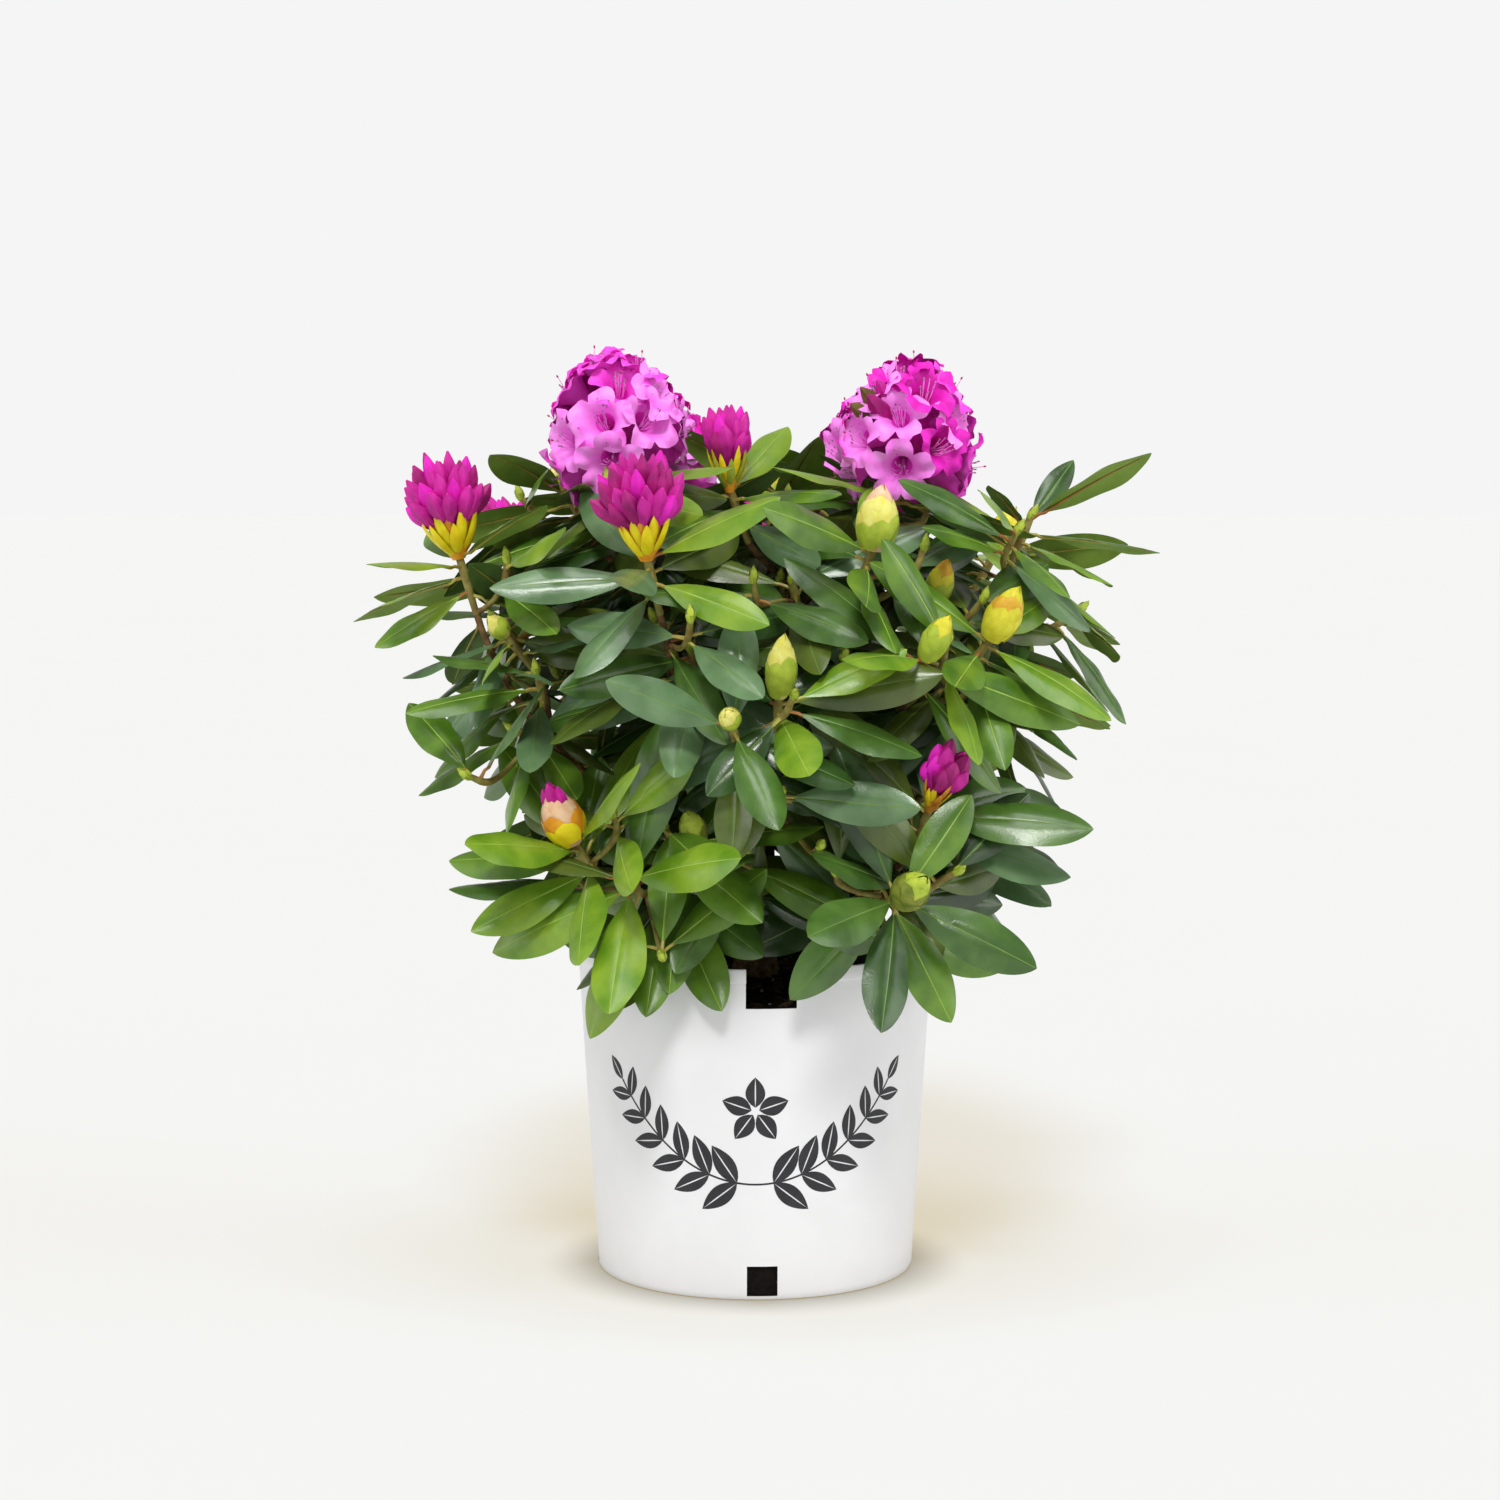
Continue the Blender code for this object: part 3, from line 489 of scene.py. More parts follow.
def leaf_body(leaf, root_share=0.0, grown=0.0):
    """A leaf as a closed body: a three-sided petiole, and a blade that is highest along its middle.

    root_share starts it further out along the midrib, and grown makes it larger all over."""
    side = leaf.direction.cross(leaf.normal)
    up = leaf.normal
    half = leaf.width / 2 + grown

    def petiole_ring(t):
        place = leaf_midrib(leaf, t)
        return [
            place + side * PETIOLE_RADIUS + up * PETIOLE_TOP,
            place - side * PETIOLE_RADIUS + up * PETIOLE_TOP,
            place - up * (PETIOLE_RADIUS + grown),
        ]

    def blade_edges(t, share):
        place = leaf_midrib(leaf, t) - up * (leaf.fold * half * share + grown)
        return [place + side * half * share, place - side * half * share]

    points = (
        petiole_ring(root_share)
        + petiole_ring(max(PETIOLE_SHARE, root_share + 0.02))
        + blade_edges(LEAF_LOW, LEAF_LOW_WIDTH)
        + blade_edges(LEAF_HIGH, LEAF_HIGH_WIDTH)
        + [leaf_midrib(leaf, 1.0) + leaf.direction * grown]
        + [leaf_midrib(leaf, LEAF_CREST) + up * (LEAF_THICKNESS / 2 + grown)]
    )
    root_a, root_b, root_c, neck_a, neck_b, neck_c, low_a, low_b, high_a, high_b, tip, crest = range(12)
    rim = [neck_a, low_a, high_a, tip, high_b, low_b, neck_b]
    faces = [
        (root_a, root_b, root_c),
        (root_b, root_a, neck_a, neck_b),
        (root_a, root_c, neck_c, neck_a),
        (root_c, root_b, neck_b, neck_c),
        (neck_c, neck_b, low_b),
        (neck_c, low_b, low_a),
        (neck_c, low_a, neck_a),
        (low_a, low_b, high_b),
        (low_a, high_b, high_a),
        (high_a, high_b, tip),
    ]
    faces += [(crest, a, b) for a, b in zip(rim, rim[1:] + rim[:1])]
    return outward(points, faces)


def ball_points(count, lowest):
    """Directions spread evenly over a ball, from its top down to the height named by lowest."""
    found = []
    for i in range(count):
        z = 1 - (i + 0.5) / count * (1 - lowest)
        ring = math.sqrt(max(0.0, 1 - z * z))
        found.append(Vector((ring * math.cos(i * GOLDEN_ANGLE), ring * math.sin(i * GOLDEN_ANGLE), z)))
    return found


def turned_to(direction, axis):
    """A direction given round +Z, turned to stand round an axis."""
    side = any_side(axis)
    return side * direction.x + axis.cross(side) * direction.y + axis * direction.z


def floret_body(centre, direction, reach, radius):
    """An open floret: a five-sided funnel with a hollow face."""
    side = any_side(direction)
    up = direction.cross(side)
    points = [centre, centre + direction * reach * FLORET_HOLLOW]
    for k in range(5):
        turn = 2 * math.pi * k / 5
        points.append(centre + direction * reach + (side * math.cos(turn) + up * math.sin(turn)) * radius)
    faces = []
    for k in range(5):
        a, b = 2 + k, 2 + (k + 1) % 5
        faces += [(0, a, b), (1, b, a)]
    return outward(points, faces)


def head_bodies(shoot):
    """The bodies of the flower head or bud on a shoot's tip."""
    if shoot.head == "leafy":
        return []
    tip, axis = shoot_tip(shoot), shoot_axis(shoot)
    reach, radius = HEAD_SIZES[shoot.head]
    foot = tip - axis * HEAD_SINK
    if shoot.head == "open":
        heart = tip + axis * (reach - radius - HEAD_SINK)
        bodies = [turned_body(foot, axis, TRUSS_CORE, 6)]
        for direction in ball_points(FLORETS, FLORETS_LOWEST):
            bodies.append(floret_body(heart, turned_to(direction, axis), radius, FLORET_RADIUS))
        return bodies
    if shoot.head in ("half", "young"):
        heart = tip + axis * reach * TUFT_HEART
        bodies = [turned_body(foot, axis, [(h * reach, r * radius) for h, r in HALF_CORE], 6)]
        for direction in ball_points(PETAL_TUFTS, TUFTS_LOWEST):
            far = radius + (reach * (1 - TUFT_HEART) - radius) * direction.z ** 2
            tuft = [(h * far, r * radius) for h, r in PETALS]
            bodies.append(turned_body(heart, turned_to(direction, axis), tuft, 3))
        return bodies
    return [turned_body(foot, axis, [(h * reach, r * radius) for h, r in BUD], 5)]


# Growth: leaves are placed one by one, and each keeps clear of all that is there already

Obstacle = namedtuple("Obstacle", "owner kind centre radius tree")


class Obstacles:
    """The bodies that a new leaf may not touch, each with the mass that owns it."""

    def __init__(self):
        self.found = []

    def add(self, owner, body, kind="limb"):
        self.found.append(Obstacle(owner, kind, *self.ball_round(body), BVHTree.FromPolygons(*body)))

    @staticmethod
    def ball_round(body):
        points = body[0]
        centre = sum(points, Vector()) / len(points)
        return centre, max((p - centre).length for p in points)

    def touches(self, owner, blade, leaf):
        """True if the blade touches a body of its own mass, or the whole leaf one of another's."""
        centre, radius = self.ball_round(leaf)
        trees = {}
        for other in self.found:
            if (centre - other.centre).length > radius + other.radius:
                continue
            own = other.owner == owner
            if own not in trees:
                trees[own] = BVHTree.FromPolygons(*(blade if own else leaf))
            if trees[own].overlap(other.tree):
                return True
        return False


def near_pot(points):
    """True if a body comes near the pot or what is in it."""
    wall = POT_TOP_RADIUS + POT_CLEARANCE
    return any(p.z < POT_HEIGHT + POT_CLEARANCE and math.hypot(p.x, p.y) < wall for p in points)


def leaf_on_shoot(shoot, path, rank, jitter, turn, tilt, scale):
    """The leaf of one rank on a shoot, turned and tilted by some degrees from its usual place."""
    axis = shoot_axis(shoot)
    tangent = polar(shoot.bearing + 90, 1, 0)
    across = axis.cross(tangent)
    share = min(rank / WHORL_RANKS, 1)
    older = max(0, rank - WHORL_RANKS)
    below = WHORL_START + WHORL_STEP * WHORL_RANKS * share + OLD_LEAF_STEP * older
    root, along = point_before_end(path, below)
    azimuth = math.radians(shoot.spin + turn) + GOLDEN_ANGLE * rank + jitter[0] * 0.16
    fall = OLD_FALL if older else TOP_FALL + (FOOT_FALL - TOP_FALL) * share
    if shoot.head == "open":
        fall += TRUSS_FALL
    fall = math.radians(fall + shoot.spread + tilt + jitter[1] * 5)
    around = tangent * math.cos(azimuth) + across * math.sin(azimuth)
    direction = axis * math.cos(fall) + around * math.sin(fall)
    direction.z -= TOP_DROOP + (FOOT_DROOP - TOP_DROOP) * rank / WHORL_RANKS
    direction.normalize()
    light = (axis + Vector((0, 0, FACE_SKY)) + polar(shoot.bearing, FACE_OUT, 0)).normalized()
    normal = light - direction * light.dot(direction)
    if normal.length < 0.25:
        normal = along - direction * along.dot(direction)
    normal.normalize()
    normal = (normal + direction.cross(normal) * jitter[6] * LEAF_ROLL).normalized()
    size = shoot.size * scale * (0.86 + 0.15 * math.sin(math.pi * min(rank + 1.5, 8) / 8) + 0.05 * jitter[2])
    if shoot.head in ("show", "peep", "small", "bud") and rank == 0:
        size *= 0.82
    width = LEAF_WIDTH * (0.35 + 0.65 * size) * (1 + 0.08 * jitter[3])
    arch = LEAF_ARCH * (1 + 0.5 * jitter[4])
    return Leaf(root, direction, normal, LEAF_LENGTH * size, width, arch, LEAF_FOLD + 0.05 * jitter[5])


def point_before_end(path, distance):
    """The point that lies a distance before the end of a path, and the path's direction there."""
    left = distance
    for a, b in zip(reversed(path[:-1]), reversed(path[1:])):
        step = (b - a).length
        if left <= step:
            return b.lerp(a, left / step), (b - a).normalized()
        left -= step
    return path[0].copy(), (path[1] - path[0]).normalized()


def grow():
    """Every twig and leaf of the plant, by mass: {name: (stem path, [Twig, ...])}."""
    obstacles = Obstacles()
    grown = {}
    for name, mass in MASSES.items():
        bough = bough_path(mass)
        obstacles.add("boughs", tube_body(bough, [BOUGH_FOOT_RADIUS] * len(bough), BOUGH_SIDES))
        base, fork = mass_route(mass)
        obstacles.add(name, tube_body([base, fork], [STEM_RADIUS * LIMB_ALLOWANCE] * 2, 4))
        twigs = []
        for number, shoot in enumerate(mass.shoots):
            rule = random.Random(f"{SEED} {name} {number}")
            path = twig_path(fork, (fork - base).normalized(), shoot, rule)
            obstacles.add(name, tube_body(path, [TWIG_RADIUS * LIMB_ALLOWANCE] * len(path), 4))
            for body in head_bodies(shoot):
                obstacles.add(name, body)
            twigs.append(Twig(shoot, path, [], rule))
        grown[name] = ([base, fork], twigs)
    for name, (_, twigs) in grown.items():
        for twig in twigs:
            add_leaves(obstacles, name, twig, range(twig.shoot.leaves))
    obstacles.found = [found for found in obstacles.found if found.kind != "leaf"]
    sights = Obstacles()
    for place in GAP_PLACES:
        sights.add("sights", tube_body([place, place + Vector((0, GAP_LENGTH, 0))], [GAP_RADIUS] * 2, 8))
    for name, (_, twigs) in grown.items():
        for twig in twigs:
            if twig.shoot.head == "leafy":
                obstacles.add(name, bud_space(twig.shoot))
            else:
                sights.add("sights", head_sight(twig.shoot))
    reaches = {name: mass_reach(twigs) for name, (_, twigs) in grown.items()}
    for name, (_, twigs) in grown.items():
        for place, twig in enumerate(twigs):
            slim = [leaf._replace(width=leaf.width * slenderness(name)) for leaf in twig.leaves]
            for number, leaf in enumerate(slim):
                if (name, place, number) in LEAF_LEANS:
                    slim[number] = leaning(leaf, *LEAF_LEANS[name, place, number])
            twig.leaves.clear()
            for leaf in slim:
                for pull in SUN_PULLS.get(name, OTHER_PULLS):
                    rolled = facing_out(leaf, pull)
                    body, blade = leaf_body(rolled, 0.0, LEAF_CLEARANCE), leaf_body(rolled, BLADE_SHARE, LEAF_CLEARANCE)
                    if not sights.touches(name, body, body) and not obstacles.touches(name, blade, body):
                        obstacles.add(name, body, "leaf")
                        twig.leaves.append(rolled)
                        break
    obstacles.found += sights.found
    for name, (_, twigs) in grown.items():
        for twig in list(twigs):
            older = range(twig.shoot.leaves, twig.shoot.leaves + OLD_LEAVES)
            add_leaves(obstacles, name, twig, older, slenderness(name), reaches[name])
            for place in SIDE_PLACES:
                side = side_twig(obstacles, name, twig, place)
                if side:
                    twigs.append(side)
                    add_leaves(obstacles, name, side, range(side.shoot.leaves), slenderness(name), reaches[name])
    return grown


def slenderness(name):
    return SLENDER.get(name, OTHER_SLENDER)


def bud_space(shoot):
    """The space of the small leaf bud at a shoot's tip."""
    length, radius = LEAF_BUD[:2]
    tip, axis = shoot_tip(shoot), shoot_axis(shoot)
    return tube_body([tip - axis * HEAD_SINK, tip + axis * (length - HEAD_SINK)], [radius * LIMB_ALLOWANCE] * 2, 5)


def head_sight(shoot):
    """The space that a flower head or bud keeps free of leaves on the side of the crown it is on."""
    reach, radius = HEAD_SIZES[shoot.head]
    tip, axis = shoot_tip(shoot), shoot_axis(shoot)
    middle = tip + axis * reach * 0.55
    away = Vector((0, math.copysign(SIGHT_LENGTH, tip.y), SIGHT_RISE))
    return tube_body([middle, middle + away], [radius * SIGHT_SHARE] * 2, 8)


def facing_out(leaf, pull):
    """A leaf rolled round its midrib towards the open side of the crown: its front or its back."""
    wish = leaf.normal + Vector((0, math.copysign(pull, leaf.root.y + 0.04), 0))
    normal = wish - leaf.direction * wish.dot(leaf.direction)
    return leaf._replace(normal=normal.normalized())


def leaning(leaf, lean, size):
    """A leaf that leans another way from its root, at a share of its size."""
    direction = (leaf.direction + Vector(lean)).normalized()
    normal = leaf.normal + LEANING_FACE
    normal = (normal - direction * normal.dot(direction)).normalized()
    return leaf._replace(direction=direction, normal=normal, length=leaf.length * size, width=leaf.width * size)


def mass_reach(twigs):
    """How far the leaves of a mass reach: from the crown's middle, downwards and upwards."""
    tips = [leaf_midrib(leaf, 1) for twig in twigs for leaf in twig.leaves]
    low, high = min(p.z for p in tips), max(p.z for p in tips)
    return max((p - CROWN_MIDDLE).length for p in tips) * EXTRA_REACH, low + EXTRA_RISE, high - EXTRA_RISE


def within(leaf, reach):
    tip = leaf_midrib(leaf, 1)
    return (tip - CROWN_MIDDLE).length < reach[0] and reach[1] < tip.z < reach[2]


def add_leaves(obstacles, owner, twig, ranks, slender=1.0, reach=None):
    """Grows a twig's leaves of the given ranks, each where it finds free space."""
    for rank in ranks:
        jitter = [twig.rule.uniform(-1, 1) for _ in range(7)]
        leaf = free_leaf(obstacles, owner, twig, rank, jitter, slender)
        if leaf and (reach is None or within(leaf, reach)):
            obstacles.add(owner, leaf_body(leaf, 0.0, LEAF_CLEARANCE), "leaf")
            twig.leaves.append(leaf)


def side_twig(obstacles, owner, twig, place):
    """A finer shoot from a place on a twig, on a side that its rule draws, or None."""
    length = sum((b - a).length for a, b in zip(twig.path, twig.path[1:]))
    foot, ahead = point_before_end(twig.path, length * place)
    for _ in range(SIDE_TRIES):
        turn = twig.rule.uniform(-math.pi, math.pi)
        side = any_side(ahead)
        out = ahead * SIDE_AHEAD + side * math.cos(turn) + ahead.cross(side) * math.sin(turn)
        tip = foot + (out + Vector((0, 0, SIDE_RISE))).normalized() * twig.rule.uniform(*SIDE_LENGTHS)
        bearing, reach = math.degrees(math.atan2(tip.y, tip.x)), math.hypot(tip.x, tip.y)
        shoot = Shoot(bearing, reach, tip.z, twig.shoot.lean, "leafy", SIDE_LEAVES, math.degrees(turn), SIDE_SIZE)
        path = twig_path(foot, out.normalized(), shoot, twig.rule)
        body = tube_body(path[1:], [TWIG_TIP_RADIUS] * (len(path) - 1), 4)
        bud = bud_space(shoot)
        if not near_pot(body[0]) and not any(obstacles.touches(owner, part, part) for part in (body, bud)):
            obstacles.add(owner, body)
            obstacles.add(owner, bud)
            return Twig(shoot, path, [], twig.rule)
    return None


def free_leaf(obstacles, owner, twig, rank, jitter, slender):
    """The leaf of one rank at the first turn and size that has free space, or None."""
    for scale in LEAF_SCALES:
        for turn, tilt in LEAF_TURNS:
            leaf = leaf_on_shoot(twig.shoot, twig.path, rank, jitter, turn, tilt, scale)
            leaf = leaf._replace(width=leaf.width * slender)
            leaf = facing_out(leaf, SUN_PULLS.get(owner, OTHER_PULLS)[1]) if slender < 1 else leaf
            whole = leaf_body(leaf, 0.0, LEAF_CLEARANCE)
            blade = leaf_body(leaf, BLADE_SHARE, LEAF_CLEARANCE)
            if not near_pot(whole[0]) and not obstacles.touches(owner, blade, whole):
                return leaf
    return None


# Finishes

def colour(code):
    """The linear colour of six hex digits, as a screen shows them."""
    parts = [int(code[i:i + 2], 16) / 255 for i in (0, 2, 4)]
    return tuple(((c + 0.055) / 1.055) ** 2.4 if c > 0.04045 else c / 12.92 for c in parts) + (1,)


# Each finish: two colours that mingle in patches, the patches' size, the roughness, the size and
# depth of its grain, and how far light goes into it
Finish = namedtuple("Finish", "light dark patch roughness grain depth specular soft", defaults=(0.5, 0))
FINISHES = {
    "leaf_lime": Finish("82a22a", "5c8616", 0.03, 0.33, 0.0016, 0.00012, 0.6),
    "leaf_fresh": Finish("648a26", "426816", 0.03, 0.31, 0.0016, 0.00012, 0.6),
    "leaf_mid": Finish("50742c", "355819", 0.03, 0.29, 0.0016, 0.00012, 0.65),
    # The next finish is a painted sheen: a paler, bluish-grey green that stands in for the sky's reflection on a leaf
    "leaf_painted_sheen": Finish("66865a", "4c6c42", 0.03, 0.28, 0.0016, 0.00012, 0.65),
    "leaf_olive": Finish("5c6e28", "445819", 0.03, 0.30, 0.0016, 0.00012, 0.65),
    "leaf_deep": Finish("3a5c26", "264315", 0.03, 0.28, 0.0016, 0.00012, 0.65),
    "leaf_dark": Finish("2c461c", "1e3412", 0.03, 0.28, 0.0016, 0.00012, 0.65),
    "under_fresh": Finish("7c9840", "688430", 0.03, 0.60, 0.0014, 0.00012, 0.25),
    "under_deep": Finish("5c783c", "4a662c", 0.03, 0.60, 0.0014, 0.00012, 0.25),
    "rib_fresh": Finish("9ab84c", "86a63a", 0.02, 0.48, 0.002, 0.00008),
    "rib_deep": Finish("6f8c42", "5c7c32", 0.02, 0.48, 0.002, 0.00008),
    "petiole": Finish("b0ae50", "a08a3c", 0.012, 0.5, 0.002, 0.00008),
    "petiole_red": Finish("a87438", "94582e", 0.012, 0.5, 0.002, 0.00008),
    "green_wood": Finish("8f8a44", "77642e", 0.008, 0.6, 0.0012, 0.0002, 0.35),
    "twig_bark": Finish("84683f", "5c4328", 0.006, 0.8, 0.0012, 0.0004, 0.25),
    "bough_bark": Finish("7a6247", "4c3826", 0.007, 0.88, 0.0015, 0.0006, 0.2),
    "orchid_light": Finish("ff9af8", "fc80f0", 0.012, 0.55, 0.0012, 0.0001, 0.3),
    "orchid": Finish("fa5ce6", "f03ed2", 0.012, 0.55, 0.0012, 0.0001, 0.3),
    "magenta": Finish("ea28c8", "d812b0", 0.012, 0.55, 0.0012, 0.0001, 0.3),
    "deep_magenta": Finish("d826a8", "bc168e", 0.01, 0.5, 0.001, 0.0001, 0.35, 0.2),
    "wine": Finish("b81a80", "96126a", 0.01, 0.5, 0.001, 0.0001, 0.35, 0.1),
    "filament": Finish("f6a6ee", "ec86dc", 0.01, 0.5, 0.002, 0.00005, 0.3),
    "anther": Finish("c090b4", "a87498", 0.002, 0.7, 0.0005, 0.0001, 0.3),
    "stigma": Finish("c22c72", "a21c58", 0.002, 0.4, 0.0005, 0.0001, 0.5),
    "fleck": Finish("6f5a1c", "574312", 0.002, 0.6, 0.0005, 0.00005, 0.3),
    "bract_yellow": Finish("f8e41e", "eccc10", 0.01, 0.5, 0.001, 0.0001, 0.35, 0.1),
    "bract_orange": Finish("f0a82c", "dc861c", 0.01, 0.5, 0.001, 0.0001, 0.35, 0.1),
    "bract_green": Finish("a9b83c", "8ca02c", 0.01, 0.5, 0.001, 0.0001, 0.35, 0.1),
    "bract_brown": Finish("7c6a34", "5e4a28", 0.01, 0.55, 0.001, 0.0001, 0.3),
    "bud_pale": Finish("ede683", "dcd45c", 0.008, 0.5, 0.001, 0.0001, 0.35, 0.1),
    "bud_yellow": Finish("eae040", "d4c82c", 0.008, 0.5, 0.001, 0.0001, 0.35, 0.1),
    "bud_green": Finish("bccc44", "a2b836", 0.008, 0.5, 0.001, 0.0001, 0.35, 0.1),
    "bud_olive": Finish("8c9438", "6c7a26", 0.008, 0.5, 0.001, 0.0001, 0.35, 0.1),
    "bud_blush": Finish("eec6a0", "e2b088", 0.008, 0.5, 0.001, 0.0001, 0.35, 0.1),
    "bud_amber": Finish("ecbc3c", "d89c2c", 0.008, 0.5, 0.001, 0.0001, 0.35, 0.1),
    "bark_chip": Finish("2e2018", "1c130d", 0.006, 0.9, 0.0014, 0.0006, 0.2),
    "pale_chip": Finish("4a3a28", "382a1c", 0.006, 0.9, 0.0014, 0.0006, 0.2),
    "grit": Finish("98948a", "807c72", 0.003, 0.85, 0.0008, 0.0004, 0.3),
    "ink": Finish("2c2c30", "232327", 0.01, 0.55, 0.0008, 0.00002, 0.4),
}


def finish_material(name):
    """The material of a finish, made when it is first asked for."""
    if name in bpy.data.materials:
        return bpy.data.materials[name]
    look = FINISHES[name]
    made, shader, place = new_material(name, look.roughness, look.specular)
    patches = noise_node(made, place, look.patch, 4)
    mingle = ramp_node(made, patches, ((0.36, colour(look.dark)), (0.64, colour(look.light))))
    made.node_tree.links.new(mingle, shader.inputs["Base Color"])
    add_bump(made, shader, noise_node(made, place, look.grain, 3), look.depth)
    if look.soft:
        shader.inputs["Subsurface Weight"].default_value = look.soft
        shader.inputs["Subsurface Radius"].default_value = (1.0, 0.5, 0.8)
        shader.inputs["Subsurface Scale"].default_value = 0.002
    return made


def new_material(name, roughness, specular):
    made = bpy.data.materials.new(name)
    made.use_nodes = True
    shader = made.node_tree.nodes["Principled BSDF"]
    shader.inputs["Roughness"].default_value = roughness
    shader.inputs["Specular IOR Level"].default_value = specular
    place = made.node_tree.nodes.new("ShaderNodeTexCoord").outputs["Object"]
    return made, shader, place


def noise_node(made, place, size, detail):
    """Noise whose patches are about as large as size, in metres."""
    node = made.node_tree.nodes.new("ShaderNodeTexNoise")
    node.inputs["Scale"].default_value = 1 / size
    node.inputs["Detail"].default_value = detail
    made.node_tree.links.new(place, node.inputs["Vector"])
    return node.outputs["Fac"]


def ramp_node(made, share, stops):
    node = made.node_tree.nodes.new("ShaderNodeValToRGB")
    for stop, (position, shade) in zip(node.color_ramp.elements, stops):
        stop.position, stop.color = position, shade
    for position, shade in stops[2:]:
        node.color_ramp.elements.new(position).color = shade
    made.node_tree.links.new(share, node.inputs["Fac"])
    return node.outputs["Color"]


def add_bump(made, shader, height, depth):
    node = made.node_tree.nodes.new("ShaderNodeBump")
    node.inputs["Strength"].default_value = 1.0
    node.inputs["Distance"].default_value = depth
    made.node_tree.links.new(height, node.inputs["Height"])
    made.node_tree.links.new(node.outputs["Normal"], shader.inputs["Normal"])


# Joined pieces

class Shape:
    """Closed bodies of one kind, gathered into one joined mesh, each face with its finish."""

    def __init__(self, name, slot=None):
        self.name, self.slot = name, slot
        self.points, self.faces, self.marks, self.count = [], [], [], 0

    def add(self, body, finish):
        """Adds a body of points and faces: finish names one finish, or one for each face."""
        points, faces = body
        self.points.append(np.asarray([tuple(p) for p in points], float))
        self.faces += [tuple(i + self.count for i in face) for face in faces]
        self.marks += [finish] * len(faces) if isinstance(finish, str) else finish
        self.count += len(points)

    def make(self, *replaced):
        """The joined mesh as a piece of the plant, in place of the solids that are named."""
        mesh = bpy.data.meshes.new(self.name)
        mesh.from_pydata(np.concatenate(self.points).tolist(), [], self.faces)
        used = sorted(set(self.marks))
        for name in used:
            mesh.materials.append(finish_material(name))
        mesh.polygons.foreach_set("material_index", [used.index(mark) for mark in self.marks])
        mesh.shade_smooth()
        mesh.set_sharp_from_angle(angle=SHARP_FOLD)
        made = bpy.data.objects.new(self.name, mesh)
        bpy.context.scene.collection.objects.link(made)
        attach(made, "root")
        if replaced:
            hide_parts(*replaced)
        return made


def sheet_faces(rows, columns):
    """The faces of a closed sheet: an upper grid, and an under one that shares its side edges."""
    def upper(r, c):
        return r * columns + c

    def under(r, c):
        if c in (0, columns - 1):
            return upper(r, c)
        return rows * columns + r * (columns - 2) + c - 1

    faces = []
    for r in range(rows - 1):
        for c in range(columns - 1):
            faces.append((upper(r, c), upper(r, c + 1), upper(r + 1, c + 1), upper(r + 1, c)))
    for r in range(rows - 1):
        for c in range(columns - 1):
            faces.append((under(r, c), under(r + 1, c), under(r + 1, c + 1), under(r, c + 1)))
    for r, step in ((0, -1), (rows - 1, 1)):
        ring = [upper(r, c) for c in range(columns)] + [under(r, c) for c in range(columns - 2, 0, -1)]
        faces.append(tuple(ring[::step]))
    return faces


def sheet_body(spine, side, up, half, cup, thickness):
    """A closed sheet along a spine: at each point its side and up directions, half width and cup."""
    shares = np.array([-1, -0.55, 0, 0.55, 1])[None, :, None]
    spine, side, up = (np.asarray(v, float)[:, None, :] for v in (spine, side, up))
    half, cup = (np.asarray(v, float)[:, None, None] for v in (half, cup))
    upper = spine + side * half * shares - up * cup * shares ** 2
    under = upper[:, 1:-1] - up * thickness
    rows = upper.shape[0]
    return np.concatenate([upper.reshape(-1, 3), under.reshape(-1, 3)]), sheet_faces(rows, 5)


# Leaves

BLADE_FACES = sheet_faces(BLADE_ROWS, len(BLADE_REACH))


def outline(share):
    """The width of a blade at a share of its length, as a share of its greatest width."""
    widest = OUTLINE_FOOT / (OUTLINE_FOOT + OUTLINE_TIP)
    greatest = widest ** OUTLINE_FOOT * (1 - widest) ** OUTLINE_TIP
    return share ** OUTLINE_FOOT * (1 - share) ** OUTLINE_TIP / greatest


def leaf_blade(leaf, dice):
    """A leaf's blade: quilted between its side veins, grooved along its rib, its edges rolled down."""
    ahead, up = np.array(leaf.direction), np.array(leaf.normal)
    side = np.cross(ahead, up)
    rows = np.linspace(0, 1, BLADE_ROWS)[:, None]
    reach, ribs = BLADE_REACH[None, :], BLADE_RIBS[None, :]
    off = abs(reach)
    share = rows + VEIN_SLANT * off * rows * (1 - rows)
    width = outline(share)
    rib = RIB_HALF_WIDTH * (1 - 0.7 * share)
    half = np.maximum(leaf.width / 2 * width, rib + 0.0002)
    across = ribs * rib + reach * (half - rib)
    veins = np.cos(np.pi * np.arange(BLADE_ROWS))[:, None]
    wave = np.sin(2 * np.pi * (dice.uniform(1.2, 2.4) * share + dice.random()) + np.sign(reach) * dice.uniform(0, 2))
    height = (
        VEIN_DEPTH * veins * np.sin(np.pi * off) * width
        - (leaf.fold + EXTRA_FOLD) * half * off ** 1.3
        - ROLLED_EDGE * off ** 6 * width
        + RIPPLE * wave * off ** 2 * width
        - RIB_GROOVE * (1 - abs(ribs)) * (1 - share)
    )
    t = (BLADE_START + (1 - BLADE_START) * share)[..., None]
    spine = np.array(leaf.root) + (ahead * t - up * leaf.arch * t * t) * leaf.length
    upper = spine + side * across[..., None] + up * height[..., None]
    under = upper[:, 1:-1] - up * BLADE_SHEET
    return np.concatenate([upper.reshape(-1, 3), under.reshape(-1, 3)]), BLADE_FACES


def leaf_petiole(leaf):
    """A leaf's stalk, which runs on under its blade as a raised rib."""
    path, radii = [], []
    for t, radius in PETIOLE_STATIONS:
        sunk = radius + BLADE_SHEET if t > BLADE_START else 0
        path.append(leaf_midrib(leaf, t) - leaf.normal * sunk)
        radii.append(radius)
    return tube_body(path, radii, PETIOLE_SIDES)


